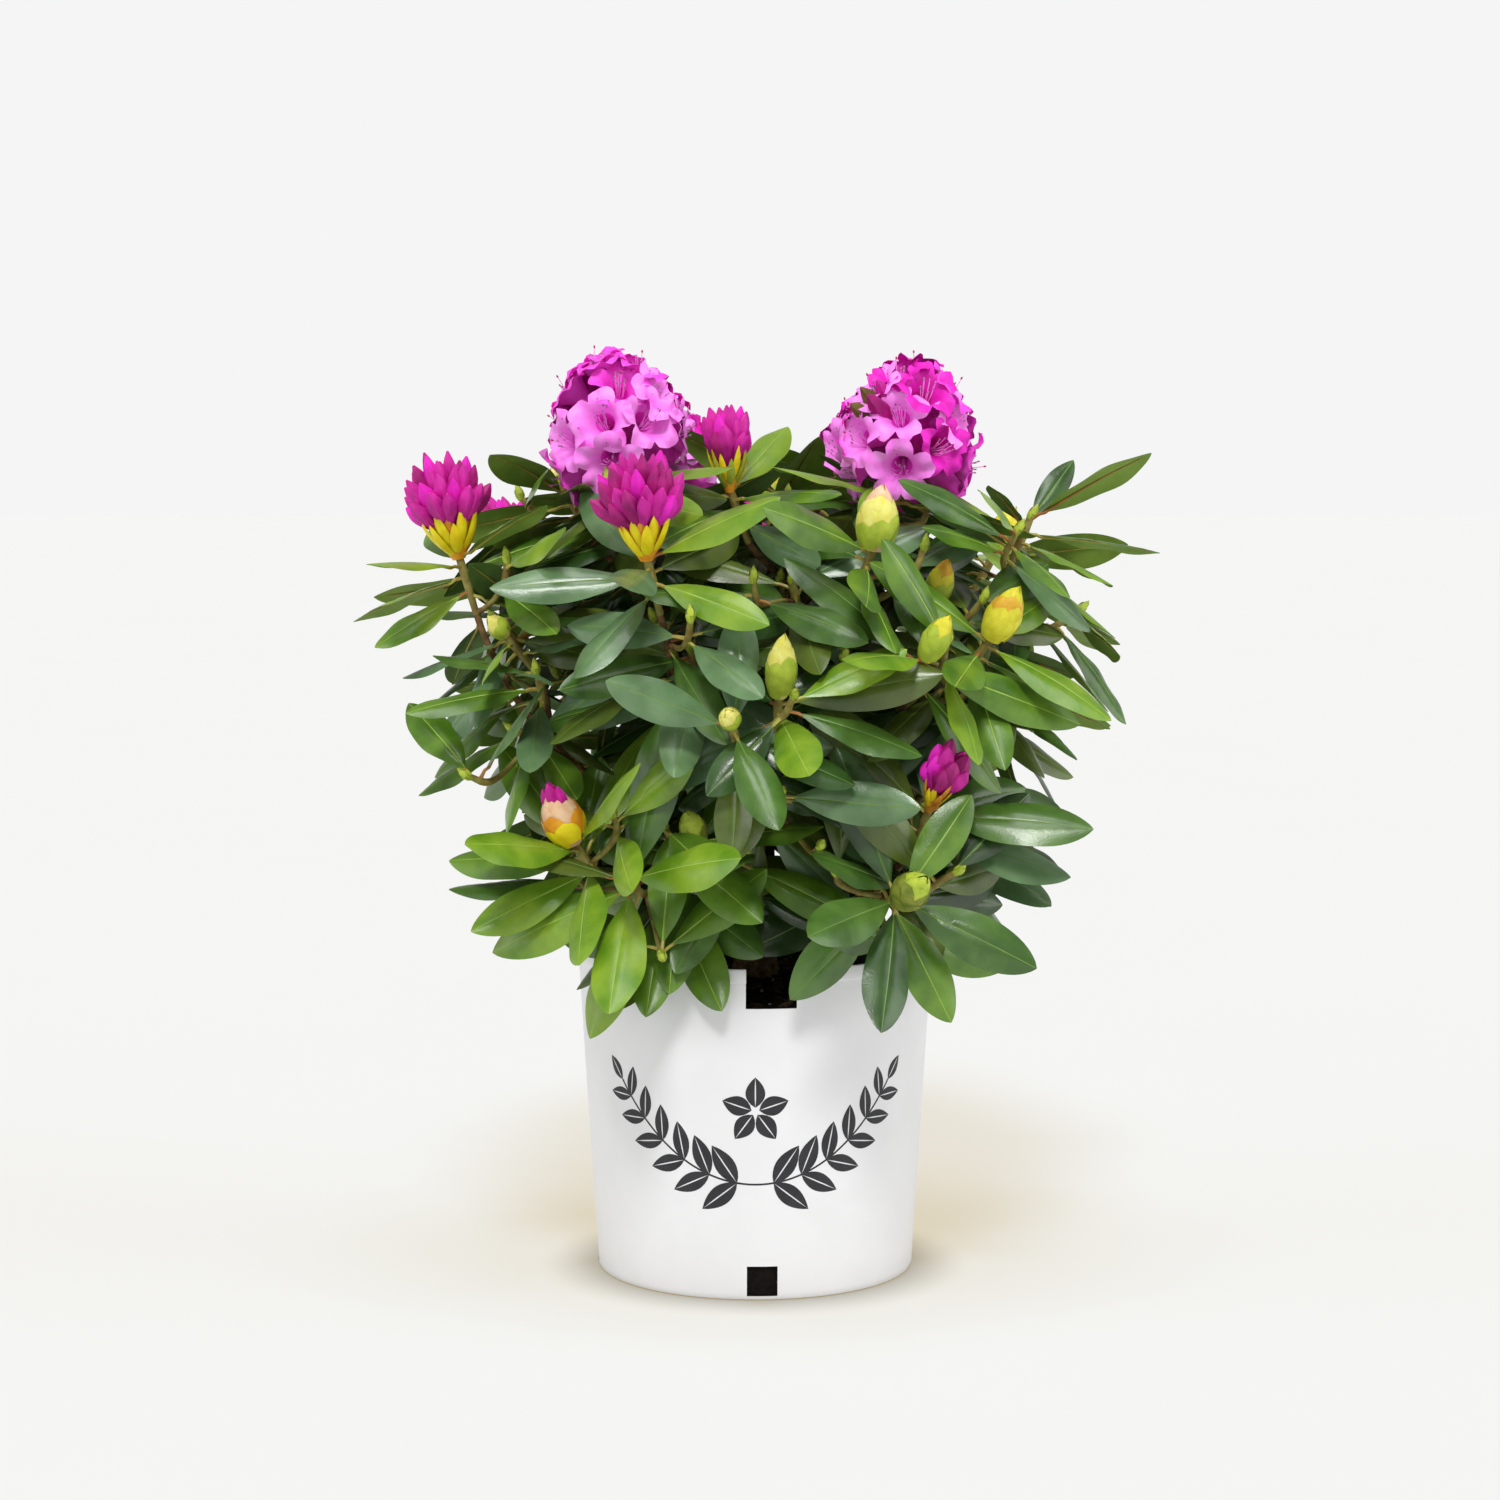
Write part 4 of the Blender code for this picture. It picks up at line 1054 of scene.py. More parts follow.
def add_leaf(shape, leaf, tone, dice):
    under = "under_fresh" if tone in ("leaf_lime", "leaf_fresh") else "under_deep"
    columns = len(BLADE_REACH) - 1
    rib = "rib_fresh" if under == "under_fresh" else "rib_deep"
    top = [tone if c not in (columns // 2 - 1, columns // 2) else rib for c in range(columns)]
    marks = top * (BLADE_ROWS - 1) + [under] * (columns * (BLADE_ROWS - 1) + 2)
    shape.add(leaf_blade(leaf, dice), marks)
    shape.add(leaf_petiole(leaf), "petiole_red" if dice.random() < 0.18 else "petiole")


# The tones of each mass's leaves, from light to dark, and where on that scale a mass stands
TONES = ("leaf_lime", "leaf_fresh", "leaf_mid", "leaf_olive", "leaf_deep", "leaf_dark")
MASS_TONES = {
    "low_front_left": 1.2, "low_front_right": 3.1, "mid_front": 3.3, "mid_front_right": 2.1,
    "front_left": 2.8, "upper_front": 2.8, "left": 1.9, "right": 2.0, "top_left": 2.7, "top_right": 2.6,
}
OTHER_TONE = 2.6
# Painted sheen: the share of each mass's leaves that take the pale sheen finish in place of a reflection
PAINTED_SHEEN_SHARES = {"mid_front": 0.5, "upper_front": 0.4, "front_left": 0.4, "left": 0.2}
SIDE_TONE = 0.8
# Painted shade: how many rays go from each leaf towards the open sky, how low they go, where they start and how far
# they reach, and how much a leaf's tone darkens with the share that other leaves cover
SHADE_RAYS, SHADE_LOWEST, SHADE_START, SHADE_REACH = 12, 0.25, 0.006, 0.22
SHADE_MIDDLE, PAINTED_SHADE_TONE = 0.62, 3.6
LEAF_TONES = {
    ("low_front_right", 0, 4): "leaf_deep", ("low_front_right", 0, 2): "leaf_mid", ("low_front_right", 0, 1): "leaf_mid",
    ("mid_front", 0, 0): "leaf_painted_sheen", ("mid_front", 0, 1): "leaf_mid", ("right", 0, 1): "leaf_deep",
    ("right", 0, 2): "leaf_mid",
}


def leaf_shade(crown, leaf):
    """The share of the open sky over a leaf that other leaves cover, which darkens its tone as painted shade."""
    middle = leaf_midrib(leaf, 0.55) + leaf.normal * SHADE_START
    open_side = ((middle - CROWN_MIDDLE).normalized() + Vector((0, 0, 0.8))).normalized()
    rays = [turned_to(ray, open_side) for ray in ball_points(SHADE_RAYS, SHADE_LOWEST)]
    return sum(crown.ray_cast(middle, ray, SHADE_REACH)[0] is not None for ray in rays) / SHADE_RAYS


def leaf_tone(name, twig, number, shade, dice):
    """A leaf's tone: the first on a shoot are lighter, and those under many others are darker, as painted shade."""
    painted_shade = PAINTED_SHADE_TONE * (shade - SHADE_MIDDLE)
    place = MASS_TONES.get(name, OTHER_TONE) + 0.1 * number - 0.6 + painted_shade + dice.gauss(0, 0.7)
    # Some leaves take the painted sheen finish instead of their tone
    sheen = dice.random() < PAINTED_SHEEN_SHARES.get(name, 0.08)
    if twig.shoot.size == SIDE_SIZE:
        place += SIDE_TONE
    return "leaf_painted_sheen" if sheen and 1 < place < 4 else TONES[min(max(round(place), 0), len(TONES) - 1)]


def crown_tree(grown):
    """All leaves of the crown in one tree, for rays to meet."""
    points, faces = [], []
    for _, twigs in grown.values():
        for twig in twigs:
            for leaf in twig.leaves:
                body = leaf_body(leaf, BLADE_SHARE)
                faces += [tuple(i + len(points) for i in face) for face in body[1]]
                points += body[0]
    return BVHTree.FromPolygons(points, faces)


def make_leaves(grown):
    crown = crown_tree(grown)
    for name, (_, twigs) in grown.items():
        dice = random.Random(f"leaves {name}")
        shape = Shape(f"leaves_{name}", "foliage")
        for place, twig in enumerate(twigs):
            for number, leaf in enumerate(twig.leaves):
                tone = leaf_tone(name, twig, number, leaf_shade(crown, leaf), dice)
                add_leaf(shape, leaf, LEAF_TONES.get((name, place, number), tone), dice)
        shape.make(f"foliage_{name}")


# Limbs

def spline(points, step):
    """Points about a step apart on a smooth curve through the given ones."""
    ends = [points[0] * 2 - points[1]] + points + [points[-1] * 2 - points[-2]]
    found = []
    for a, b, c, d in zip(ends, ends[1:], ends[2:], ends[3:]):
        count = max(1, round((c - b).length / step))
        for i in range(count):
            t = i / count
            found.append(
                (b * 2 + (c - a) * t + (a * 2 - b * 5 + c * 4 - d) * t ** 2 + (b * 3 - a - c * 3 + d) * t ** 3) / 2
            )
    return found + [points[-1]]


def barked(path, radii, sides, relief):
    """A limb with rough bark: ridges that run along it and cracks across them."""
    points, faces = tube_body(path, radii, sides)
    along = 0.0
    for i, (centre, radius) in enumerate(zip(path, radii)):
        along += (centre - path[max(i - 1, 0)]).length
        for k in range(sides):
            turn = 2 * math.pi * k / sides
            spot = Vector((math.cos(turn) * 1.6, math.sin(turn) * 1.6, along * 90)) + centre * 20
            swell = 1 + relief * noise.fractal(spot, 0.6, 2.0, 4)
            points[i * sides + k] = centre + (points[i * sides + k] - centre) * swell
    return points, faces


def eased(first, last, share):
    return first + (last - first) * share


def make_limbs():
    """The trunk and the boughs, with their bark."""
    shape = Shape("trunk_and_boughs", "bark")
    heights = [TRUNK_HEIGHT * i / 36 for i in range(37)]
    shape.add(barked([trunk_point(h) for h in heights], [trunk_radius(h) for h in heights], 40, BOUGH_RELIEF), "bough_bark")
    for mass in MASSES.values():
        path = spline(bough_path(mass), LIMB_STEP)
        last = len(path) - 1
        radii = [eased(BOUGH_FOOT_RADIUS, BOUGH_TIP_RADIUS, i / last) for i in range(len(path))]
        shape.add(barked(path, radii, 16, BOUGH_RELIEF), "bough_bark")
    shape.make("trunk", *(f"bough_{name}" for name in MASSES))


def add_twig(shape, twig, foot_radius, tip_radius):
    path = spline(twig.path, LIMB_STEP)
    last = len(path) - 1
    radii, marks, sides, left = [], [], 8, 0.0
    for i in range(len(path) - 1, -1, -1):
        left += (path[min(i + 1, last)] - path[i]).length
        whorl = 0.0009 * math.exp(-((left - 0.016) / 0.014) ** 2)
        radii.insert(0, eased(foot_radius, tip_radius, i / last) + whorl)
        marks.insert(0, "green_wood" if left < GREEN_WOOD else "twig_bark")
    faces = ["twig_bark", marks[-1]] + [mark for mark in marks[:-1] for _ in range(sides)]
    shape.add(barked(path, radii, sides, TWIG_RELIEF), faces)


def make_twigs(grown):
    shape = Shape("twigs", "bark")
    for (base, fork), twigs in grown.values():
        end = base.lerp(fork, STEM_OVERSHOOT)
        path = spline([base, fork, end], LIMB_STEP)
        radii = [eased(BOUGH_TIP_RADIUS, STEM_RADIUS, i / (len(path) - 1)) for i in range(len(path))]
        shape.add(barked(path, radii, 12, TWIG_RELIEF), "twig_bark")
        for twig in twigs:
            foot = TWIG_RADIUS if twig.shoot.size != SIDE_SIZE else TWIG_TIP_RADIUS * 0.8
            tip = TWIG_TIP_RADIUS if twig.shoot.size != SIDE_SIZE else TWIG_TIP_RADIUS * 0.75
            add_twig(shape, twig, foot, tip)
    shape.make()


# Flowers and buds

def lean_frame(axis, azimuth):
    """The direction away from an axis at an azimuth round it."""
    side = any_side(axis)
    return side * math.cos(azimuth) + axis.cross(side) * math.sin(azimuth)


def strap(foot, axis, out, length, width, leans, thickness=0.0005):
    """A pointed bract: it leaves its foot leaning outwards by the first angle, and ends at the second."""
    rows = 9
    spine, ups = [foot], []
    for i in range(rows):
        lean = math.radians(eased(leans[0], leans[1], i / (rows - 1)))
        ups.append(out * math.cos(lean) - axis * math.sin(lean))
        if i < rows - 1:
            spine.append(spine[-1] + (axis * math.cos(lean) + out * math.sin(lean)) * length / (rows - 1))
    side = axis.cross(out)
    t = np.linspace(0, 1, rows)
    half = width / 2 * np.maximum(0.06, (0.5 + 1.6 * t) * (1 - t) ** 0.75 / 0.95)
    return sheet_body(spine, [side] * rows, ups, half, half * 0.45, thickness)


def fluted_bud(foot, direction, length, radius, twist):
    """A closed flower bud: a slender stalk, five furled petals and a point."""
    side = any_side(direction)
    across = direction.cross(side)
    sides, rings = 15, 12
    t = np.linspace(0, 1, rings)[:, None]
    turn = np.linspace(0, 2 * np.pi, sides, endpoint=False)[None, :]
    belly = radius * np.sin(np.pi * np.minimum(t, 0.985) ** 1.9) ** 0.8 + radius * 0.3 * (1 - t)
    ring = belly * (1 + 0.13 * np.cos(5 * turn + twist * t))
    side, across, ahead = np.array(side), np.array(across), np.array(direction)
    points = (
        np.array(foot)
        + ahead * (t * length)[..., None]
        + side * (ring * np.cos(turn))[..., None]
        + across * (ring * np.sin(turn))[..., None]
    )
    faces = [tuple(range(sides))[::-1]]
    for i in range(rings - 1):
        for k in range(sides):
            a, b = i * sides + k, i * sides + (k + 1) % sides
            faces.append((a, b, b + sides, a + sides))
    faces.append(tuple((rings - 1) * sides + k for k in range(sides)))
    return points.reshape(-1, 3), faces


def bud_profile(share, radius):
    """The radius of a tight bud at a share of its height."""
    return radius * math.sin(math.pi * (0.16 + 0.84 * min(share, 0.995))) ** 0.8


def scaled_bud(shape, foot, axis, length, radius, count, finishes):
    """A tight bud: overlapping scales wound round a solid heart, from greener ones at its foot."""
    heart = [(h / 8 * length * 0.97, bud_profile(h / 8, radius) * 0.93) for h in range(8)] + [(length, 0)]
    shape.add(turned_body(foot, axis, heart, 10), finishes[-1])
    rows = 7 if count > 8 else 5
    for k in range(count):
        low = 0.62 * k / count
        high = min(low + 0.42, 1.02)
        out = lean_frame(axis, k * GOLDEN_ANGLE)
        spine, half, cup = [], [], []
        for i in range(rows):
            t = i / (rows - 1)
            height = eased(low, high, t)
            ring = bud_profile(height, radius) + radius * (0.02 + SCALE_LAYERS * (1 - k / count) + SCALE_FLARE * t)
            spine.append(foot + axis * (height * length) + out * ring)
            width = radius * 0.86 * (0.55 + 1.2 * t) * (1 - t) ** 0.6 + 0.0002
            half.append(min(width, 0.9 * ring))
            cup.append(ring - math.sqrt(ring ** 2 - half[-1] ** 2))
        side = axis.cross(out)
        body = sheet_body(spine, [side] * rows, [out] * rows, half, cup, radius * SCALE_SHEET)
        step = k / count * len(finishes) + SCALE_MIX * ((k * 0.618) % 1 - 0.5)
        shape.add(body, finishes[min(max(int(step), 0), len(finishes) - 1)])


def corolla(foot, direction, upper, size, dice):
    """An open floret: a broad funnel of five ruffled lobes, one of them towards the upper side."""
    ahead, up = np.array(direction), np.array(upper)
    side = np.cross(ahead, up)
    sides = 5 * LOBE_STEPS
    turn = np.linspace(0, 2 * np.pi, sides, endpoint=False)[None, :]
    reach = np.linspace(0, 1, COROLLA_ROWS)[:, None]
    lobe = abs(np.cos(2.5 * turn))
    full = 1 - LOBE_NOTCH * (1 - lobe ** 0.6) - 0.03 * lobe ** 10
    blend = np.clip((reach - 0.35) / 0.65, 0, 1)
    r = reach * (1 - (1 - full) * blend)
    phase = [dice.uniform(0, 2 * math.pi) for _ in range(3)]
    ring = COROLLA_RADIUS * (0.10 + 0.90 * r ** 1.6) * (1 + 0.04 * np.sin(8 * turn + phase[0]) * r ** 3)
    depth = COROLLA_DEPTH * (1 - (1 - r) ** 1.8) - 0.006 * np.clip(r - 0.72, 0, 1) / 0.28
    depth = depth + RUFFLE * np.sin(10 * turn + phase[1]) * r ** 4 + 0.002 * np.sin(2 * turn + phase[2]) * r ** 2
    depth = depth + RUFFLE * 0.6 * np.sin(7 * turn + phase[0]) * r ** 3
    depth = depth - 0.0014 * lobe ** 6 * r ** 2

    def place(ring, depth):
        return (
            np.array(foot)
            + ahead * (depth * size)[..., None]
            + up * (ring * np.cos(turn) * size)[..., None]
            + side * (ring * np.sin(turn) * size)[..., None]
        )

    front = place(ring, depth)
    back = place(ring[:-1] + COROLLA_SHEET * 0.7, depth[:-1] - COROLLA_SHEET * 0.7)
    points = np.concatenate([front.reshape(-1, 3), back.reshape(-1, 3)])
    faces, zones = [], []
    last = COROLLA_ROWS * sides
    for i in range(COROLLA_ROWS - 1):
        for k in range(sides):
            a, b = i * sides + k, i * sides + (k + 1) % sides
            faces.append((a, a + sides, b + sides, b))
            zones.append("throat" if i < 3 else "edge" if i == COROLLA_ROWS - 2 else "lobe")
    for i in range(COROLLA_ROWS - 1):
        for k in range(sides):
            a, b = last + i * sides + k, last + i * sides + (k + 1) % sides
            far_a, far_b = (a + sides, b + sides) if i < COROLLA_ROWS - 2 else (a - last + sides, b - last + sides)
            faces.append((a, b, far_b, far_a))
            zones.append("back")
    for k in range(sides):
        a, b = k, (k + 1) % sides
        faces.append((a, b, last + b, last + a))
        zones.append("back")
    return (points, faces), zones


COROLLA_COLOURS = (
    {"throat": "orchid", "lobe": "orchid_light", "edge": "orchid_light", "back": "orchid"},
    {"throat": "magenta", "lobe": "orchid", "edge": "orchid", "back": "orchid"},
    {"throat": "deep_magenta", "lobe": "magenta", "edge": "magenta", "back": "magenta"},
)


def add_stamens(shape, foot, direction, upper, size, dice):
    """The stamens of a floret, which curve up towards its upper lobe, and its longer style."""
    side = direction.cross(upper)
    for n in range(STAMENS + 1):
        turn = 2 * math.pi * n / STAMENS + dice.uniform(-0.2, 0.2)
        style = n == STAMENS
        out = upper * math.cos(turn) + side * math.sin(turn)
        spread = 0.001 if style else 0.0055 * dice.uniform(0.7, 1.2)
        length = (0.046 if style else dice.uniform(0.033, 0.041)) * size
        path = []
        for i in range(5):
            t = i / 4
            path.append(
                foot + direction * (0.008 + (length - 0.008) * t) + out * spread * t - upper * 0.005 * math.sin(math.pi * t)
                + upper * 0.002 * t
            )
        shape.add(tube_body(path, [0.00035] * 5, 3), "filament")
        tip, ahead = path[-1], (path[-1] - path[-2]).normalized()
        bead = 0.0008 if style else 0.0007
        stations = [(-0.0012, bead * 0.5), (-0.0004, bead), (0.0006, bead * 0.9), (0.0013, 0)]
        shape.add(turned_body(tip, ahead, stations, 5), "stigma" if style else "anther")


def add_flecks(shape, foot, direction, upper, size, dice):
    """Small dark flecks inside the upper lobe, as closed lens shapes."""
    side = direction.cross(upper)
    for _ in range(9):
        reach, turn = dice.uniform(0.48, 0.78), dice.uniform(-0.34, 0.34)
        ring = COROLLA_RADIUS * (0.10 + 0.90 * reach ** 1.6)
        depth = COROLLA_DEPTH * (1 - (1 - reach) ** 1.8) - 0.0014 * reach ** 2
        spot = foot + (direction * depth + (upper * math.cos(turn) + side * math.sin(turn)) * ring) * size
        shape.add(turned_body(spot - direction * 0.0002, direction, [(0, 0.0005), (0.0004, 0.0004), (0.0007, 0)], 5), "fleck")


# Closed florets of the truss on the right: where each points, its length and its finish
CLOSED_FLORETS = {(349, "open"): (
    ((-0.62, -0.55, 0.62), 0.062, "bract_brown"), ((-0.50, -0.66, 0.48), 0.062, "wine"),
    ((-0.72, -0.50, 0.40), 0.060, "bract_brown"), ((-0.44, -0.60, 0.76), 0.060, "deep_magenta"),
)}


def closed_florets(shoot, heart, petals):
    """A few closed buds that stand among a truss's open florets."""
    for place, length, finish in CLOSED_FLORETS.get((shoot.bearing, shoot.head), ()):
        direction = Vector(place).normalized()
        petals.add(fluted_bud(heart, direction, length, 0.0062, 2), finish)


def open_truss(shoot, petals, threads, dice):
    tip, axis = shoot_tip(shoot), shoot_axis(shoot)
    reach, radius = HEAD_SIZES["open"]
    heart = tip + axis * (reach - radius - HEAD_SINK)
    threads.add(tube_body([tip - axis * HEAD_SINK, heart, heart + axis * 0.012], [0.004, 0.003, 0.002], 8), "bract_green")
    petals.add(turned_body(heart - axis * 0.014, axis, TRUSS_HEART, 14), "magenta")
    for n, place in enumerate(ball_points(FLORETS_SHOWN, FLORETS_LOWEST)):
        direction = turned_to(place, axis) + Vector([dice.uniform(-0.16, 0.16) for _ in range(3)])
        direction.normalize()
        upper = Vector((0, 0, 1)) - direction * direction.z
        upper = (upper if upper.length > 0.2 else any_side(direction)).normalized()
        foot = heart + direction * (FLORET_FOOT + dice.uniform(-0.003, 0.002)) + axis * TRUSS_DOME * (place.z - 0.3)
        foot -= (direction - axis * direction.dot(axis)) * TRUSS_TAPER * place.z
        size = dice.uniform(0.9, 1.06) * (1.03 - 0.10 * place.z)
        colours = COROLLA_COLOURS[dice.choices((0, 1, 2), (6, 3, 1) if n > 4 else (0, 3, 5))[0]]
        body, zones = corolla(foot, direction, upper, size, dice)
        petals.add(body, [colours[zone] for zone in zones])
        threads.add(tube_body([heart - axis * 0.008, heart, foot + direction * 0.002], [0.001, 0.001, 0.0016], 6), "bract_green")
        add_stamens(threads, foot, direction, upper, size, dice)
        add_flecks(threads, foot, direction, upper, size, dice)
    closed_florets(shoot, heart, petals)
    for n in range(9):
        out = lean_frame(axis, n * GOLDEN_ANGLE)
        foot = tip + axis * (0.001 + 0.0015 * (n % 3)) + out * 0.003
        threads.add(strap(foot, axis, out, 0.016, 0.008, (30, 75)), ("bract_green", "bract_yellow")[n % 2])


# Heads of closed buds: how many, their radius, how far down their fan goes, and how much wider than
# the solid head it is. Then the bracts round them: how many, their length and leans
Tuft = namedtuple("Tuft", "buds radius lowest swell bracts length leans finishes")
TUFTS = {
    "half": Tuft(42, 0.0054, -0.04, 1.14, 21, 0.036, (54, 2), ("bract_yellow", "bract_yellow", "bract_orange")),
    "young": Tuft(24, 0.0052, 0.1, 1.10, 17, 0.030, (48, 2), ("bract_yellow", "bract_green", "bract_yellow")),
    "show": Tuft(12, 0.0062, 0.3, 1.12, 13, 0.022, (46, 0), ("bract_orange", "bract_yellow")),
}
PEEPING = Tuft(4, 0.0048, 0.7, 0.7, 0, 0, (0, 0), ())
PEEP_SCALES = (22, ("bract_yellow", "bract_orange", "bud_blush", "bud_blush"))
PEEP_SIZE = (0.047, 0.0145)


def fan_of_buds(shoot, tuft, petals, dice):
    tip, axis = shoot_tip(shoot), shoot_axis(shoot)
    reach, radius = HEAD_SIZES[shoot.head]
    radius *= tuft.swell
    middle = tip + axis * reach * 0.56
    for place in ball_points(tuft.buds, tuft.lowest):
        wide = turned_to(place, axis) - axis * place.z
        end = middle + wide * (radius - tuft.radius * 0.4) + axis * place.z * reach * 0.42
        end += Vector([dice.uniform(-1, 1) for _ in range(3)]) * 0.0035
        foot = tip + axis * reach * 0.2 + wide * radius * 0.16
        finish = dice.choices(("deep_magenta", "magenta", "wine"), (6, 2, 2))[0]
        length = (end - foot).length * dice.uniform(0.9, 1.06)
        body = fluted_bud(foot, (end - foot).normalized(), length, tuft.radius * dice.uniform(0.85, 1.1), dice.uniform(1, 3))
        petals.add(body, finish)


def tuft_head(shoot, petals, bracts, dice):
    """A fan of closed buds that stands out of yellow bracts."""
    tip, axis = shoot_tip(shoot), shoot_axis(shoot)
    tuft = TUFTS[shoot.head]
    reach, radius = HEAD_SIZES[shoot.head]
    radius *= tuft.swell
    fan_of_buds(shoot, tuft, petals, dice)
    shape = [(h / 6 * reach * 0.42, radius * s) for h, s in enumerate((0.14, 0.22, 0.3, 0.36, 0.34, 0.2))] + [(reach * 0.45, 0)]
    bracts.add(turned_body(tip - axis * HEAD_SINK, axis, shape, 10), "bract_orange")
    for n in range(tuft.bracts):
        out = lean_frame(axis, n * GOLDEN_ANGLE)
        share = n / tuft.bracts
        foot = tip + axis * reach * (-0.03 + 0.12 * share) + out * radius * (0.12 + 0.08 * share)
        lean = [angle * (1 - 0.25 * share) + dice.uniform(-3, 3) for angle in tuft.leans]
        length = tuft.length * dice.uniform(0.75, 1.1)
        bracts.add(strap(foot, axis, out, length, radius * 0.33, lean), tuft.finishes[n % len(tuft.finishes)])


# Tight buds: their scales' number and colours, then those that the photograph shows to differ, by
# mass and shoot: how much longer and wider, and their colours
BUD_SCALES = {
    "bud": (24, ("bud_green", "bud_yellow", "bud_yellow", "bud_pale")),
    "small": (14, ("bud_green", "bud_pale")),
}
BUD_LOOKS = {
    ("upper_front", 0): (1.12, 1.15, ("bud_green", "bud_pale", "bud_pale", "bud_blush")),
    ("mid_front", 1): (1.22, 0.85, ("bud_green", "bud_green", "bud_pale", "bud_pale")),
    ("mid_front_right", 0): (1.05, 1.0, ("bud_yellow", "bud_yellow", "bud_amber", "bud_yellow")),
    ("mid_front_right", 1): (0.95, 0.78, ("bud_green", "bud_green", "bud_yellow")),
    ("mid_front_right", 2): (0.85, 0.78, ("bud_green", "bud_yellow", "bud_amber")),
    ("low_front_right", 0): (0.95, 1.0, ("bud_olive", "bud_olive", "bud_green")),
    ("low_front_left", 2): (0.85, 0.75, ("bud_olive", "bud_green", "bud_green")),
}


def make_heads(grown):
    """The open trusses, the opening heads, and the buds."""
    petals = Shape("petals", "blossom")
    closed = Shape("closed_petals", "blossom")
    threads = Shape("stamens_and_stalks", "blossom")
    bracts = Shape("bracts", "foliage")
    buds = Shape("buds", "foliage")
    for name, (_, twigs) in grown.items():
        for number, twig in enumerate(twigs):
            dice = random.Random(f"head {name} {number}")
            shoot = twig.shoot
            tip, axis = shoot_tip(shoot), shoot_axis(shoot)
            foot = tip - axis * HEAD_SINK
            if shoot.head == "open":
                open_truss(shoot, petals, threads, dice)
            elif shoot.head in TUFTS:
                tuft_head(shoot, closed, bracts, dice)
            elif shoot.head == "peep":
                fan_of_buds(shoot, PEEPING, closed, dice)
                scaled_bud(bracts, foot, axis, *PEEP_SIZE, *PEEP_SCALES)
            elif shoot.head == "leafy":
                scaled_bud(buds, foot, axis, *LEAF_BUD)
            else:
                reach, radius = HEAD_SIZES[shoot.head]
                count, finishes = BUD_SCALES[shoot.head]
                long, wide, finishes = BUD_LOOKS.get((name, number), (1, 1, finishes))
                scaled_bud(buds, foot, axis, reach * long, radius * wide, count, finishes)
    for shape in (petals, closed, threads, bracts, buds):
        shape.make()


# The pot and what fills it

def wall_radius(height):
    """The outer radius of the pot's wall, below its lip."""
    return POT_FOOT_RADIUS + (POT_TOP_RADIUS - LIP_STEP - POT_FOOT_RADIUS) * height / POT_HEIGHT


def plastic_material(name, light, dark, roughness):
    """Moulded plastic: a faintly uneven surface, a little dust, and fine scuffs."""
    made, shader, place = new_material(name, roughness, 0.5)
    dust = noise_node(made, place, 0.05, 6)
    made.node_tree.links.new(
        ramp_node(made, dust, ((0.42, colour(dark)), (0.6, colour(light)))), shader.inputs["Base Color"]
    )
    add_bump(made, shader, noise_node(made, place, 0.004, 2), 0.00006)
    return made


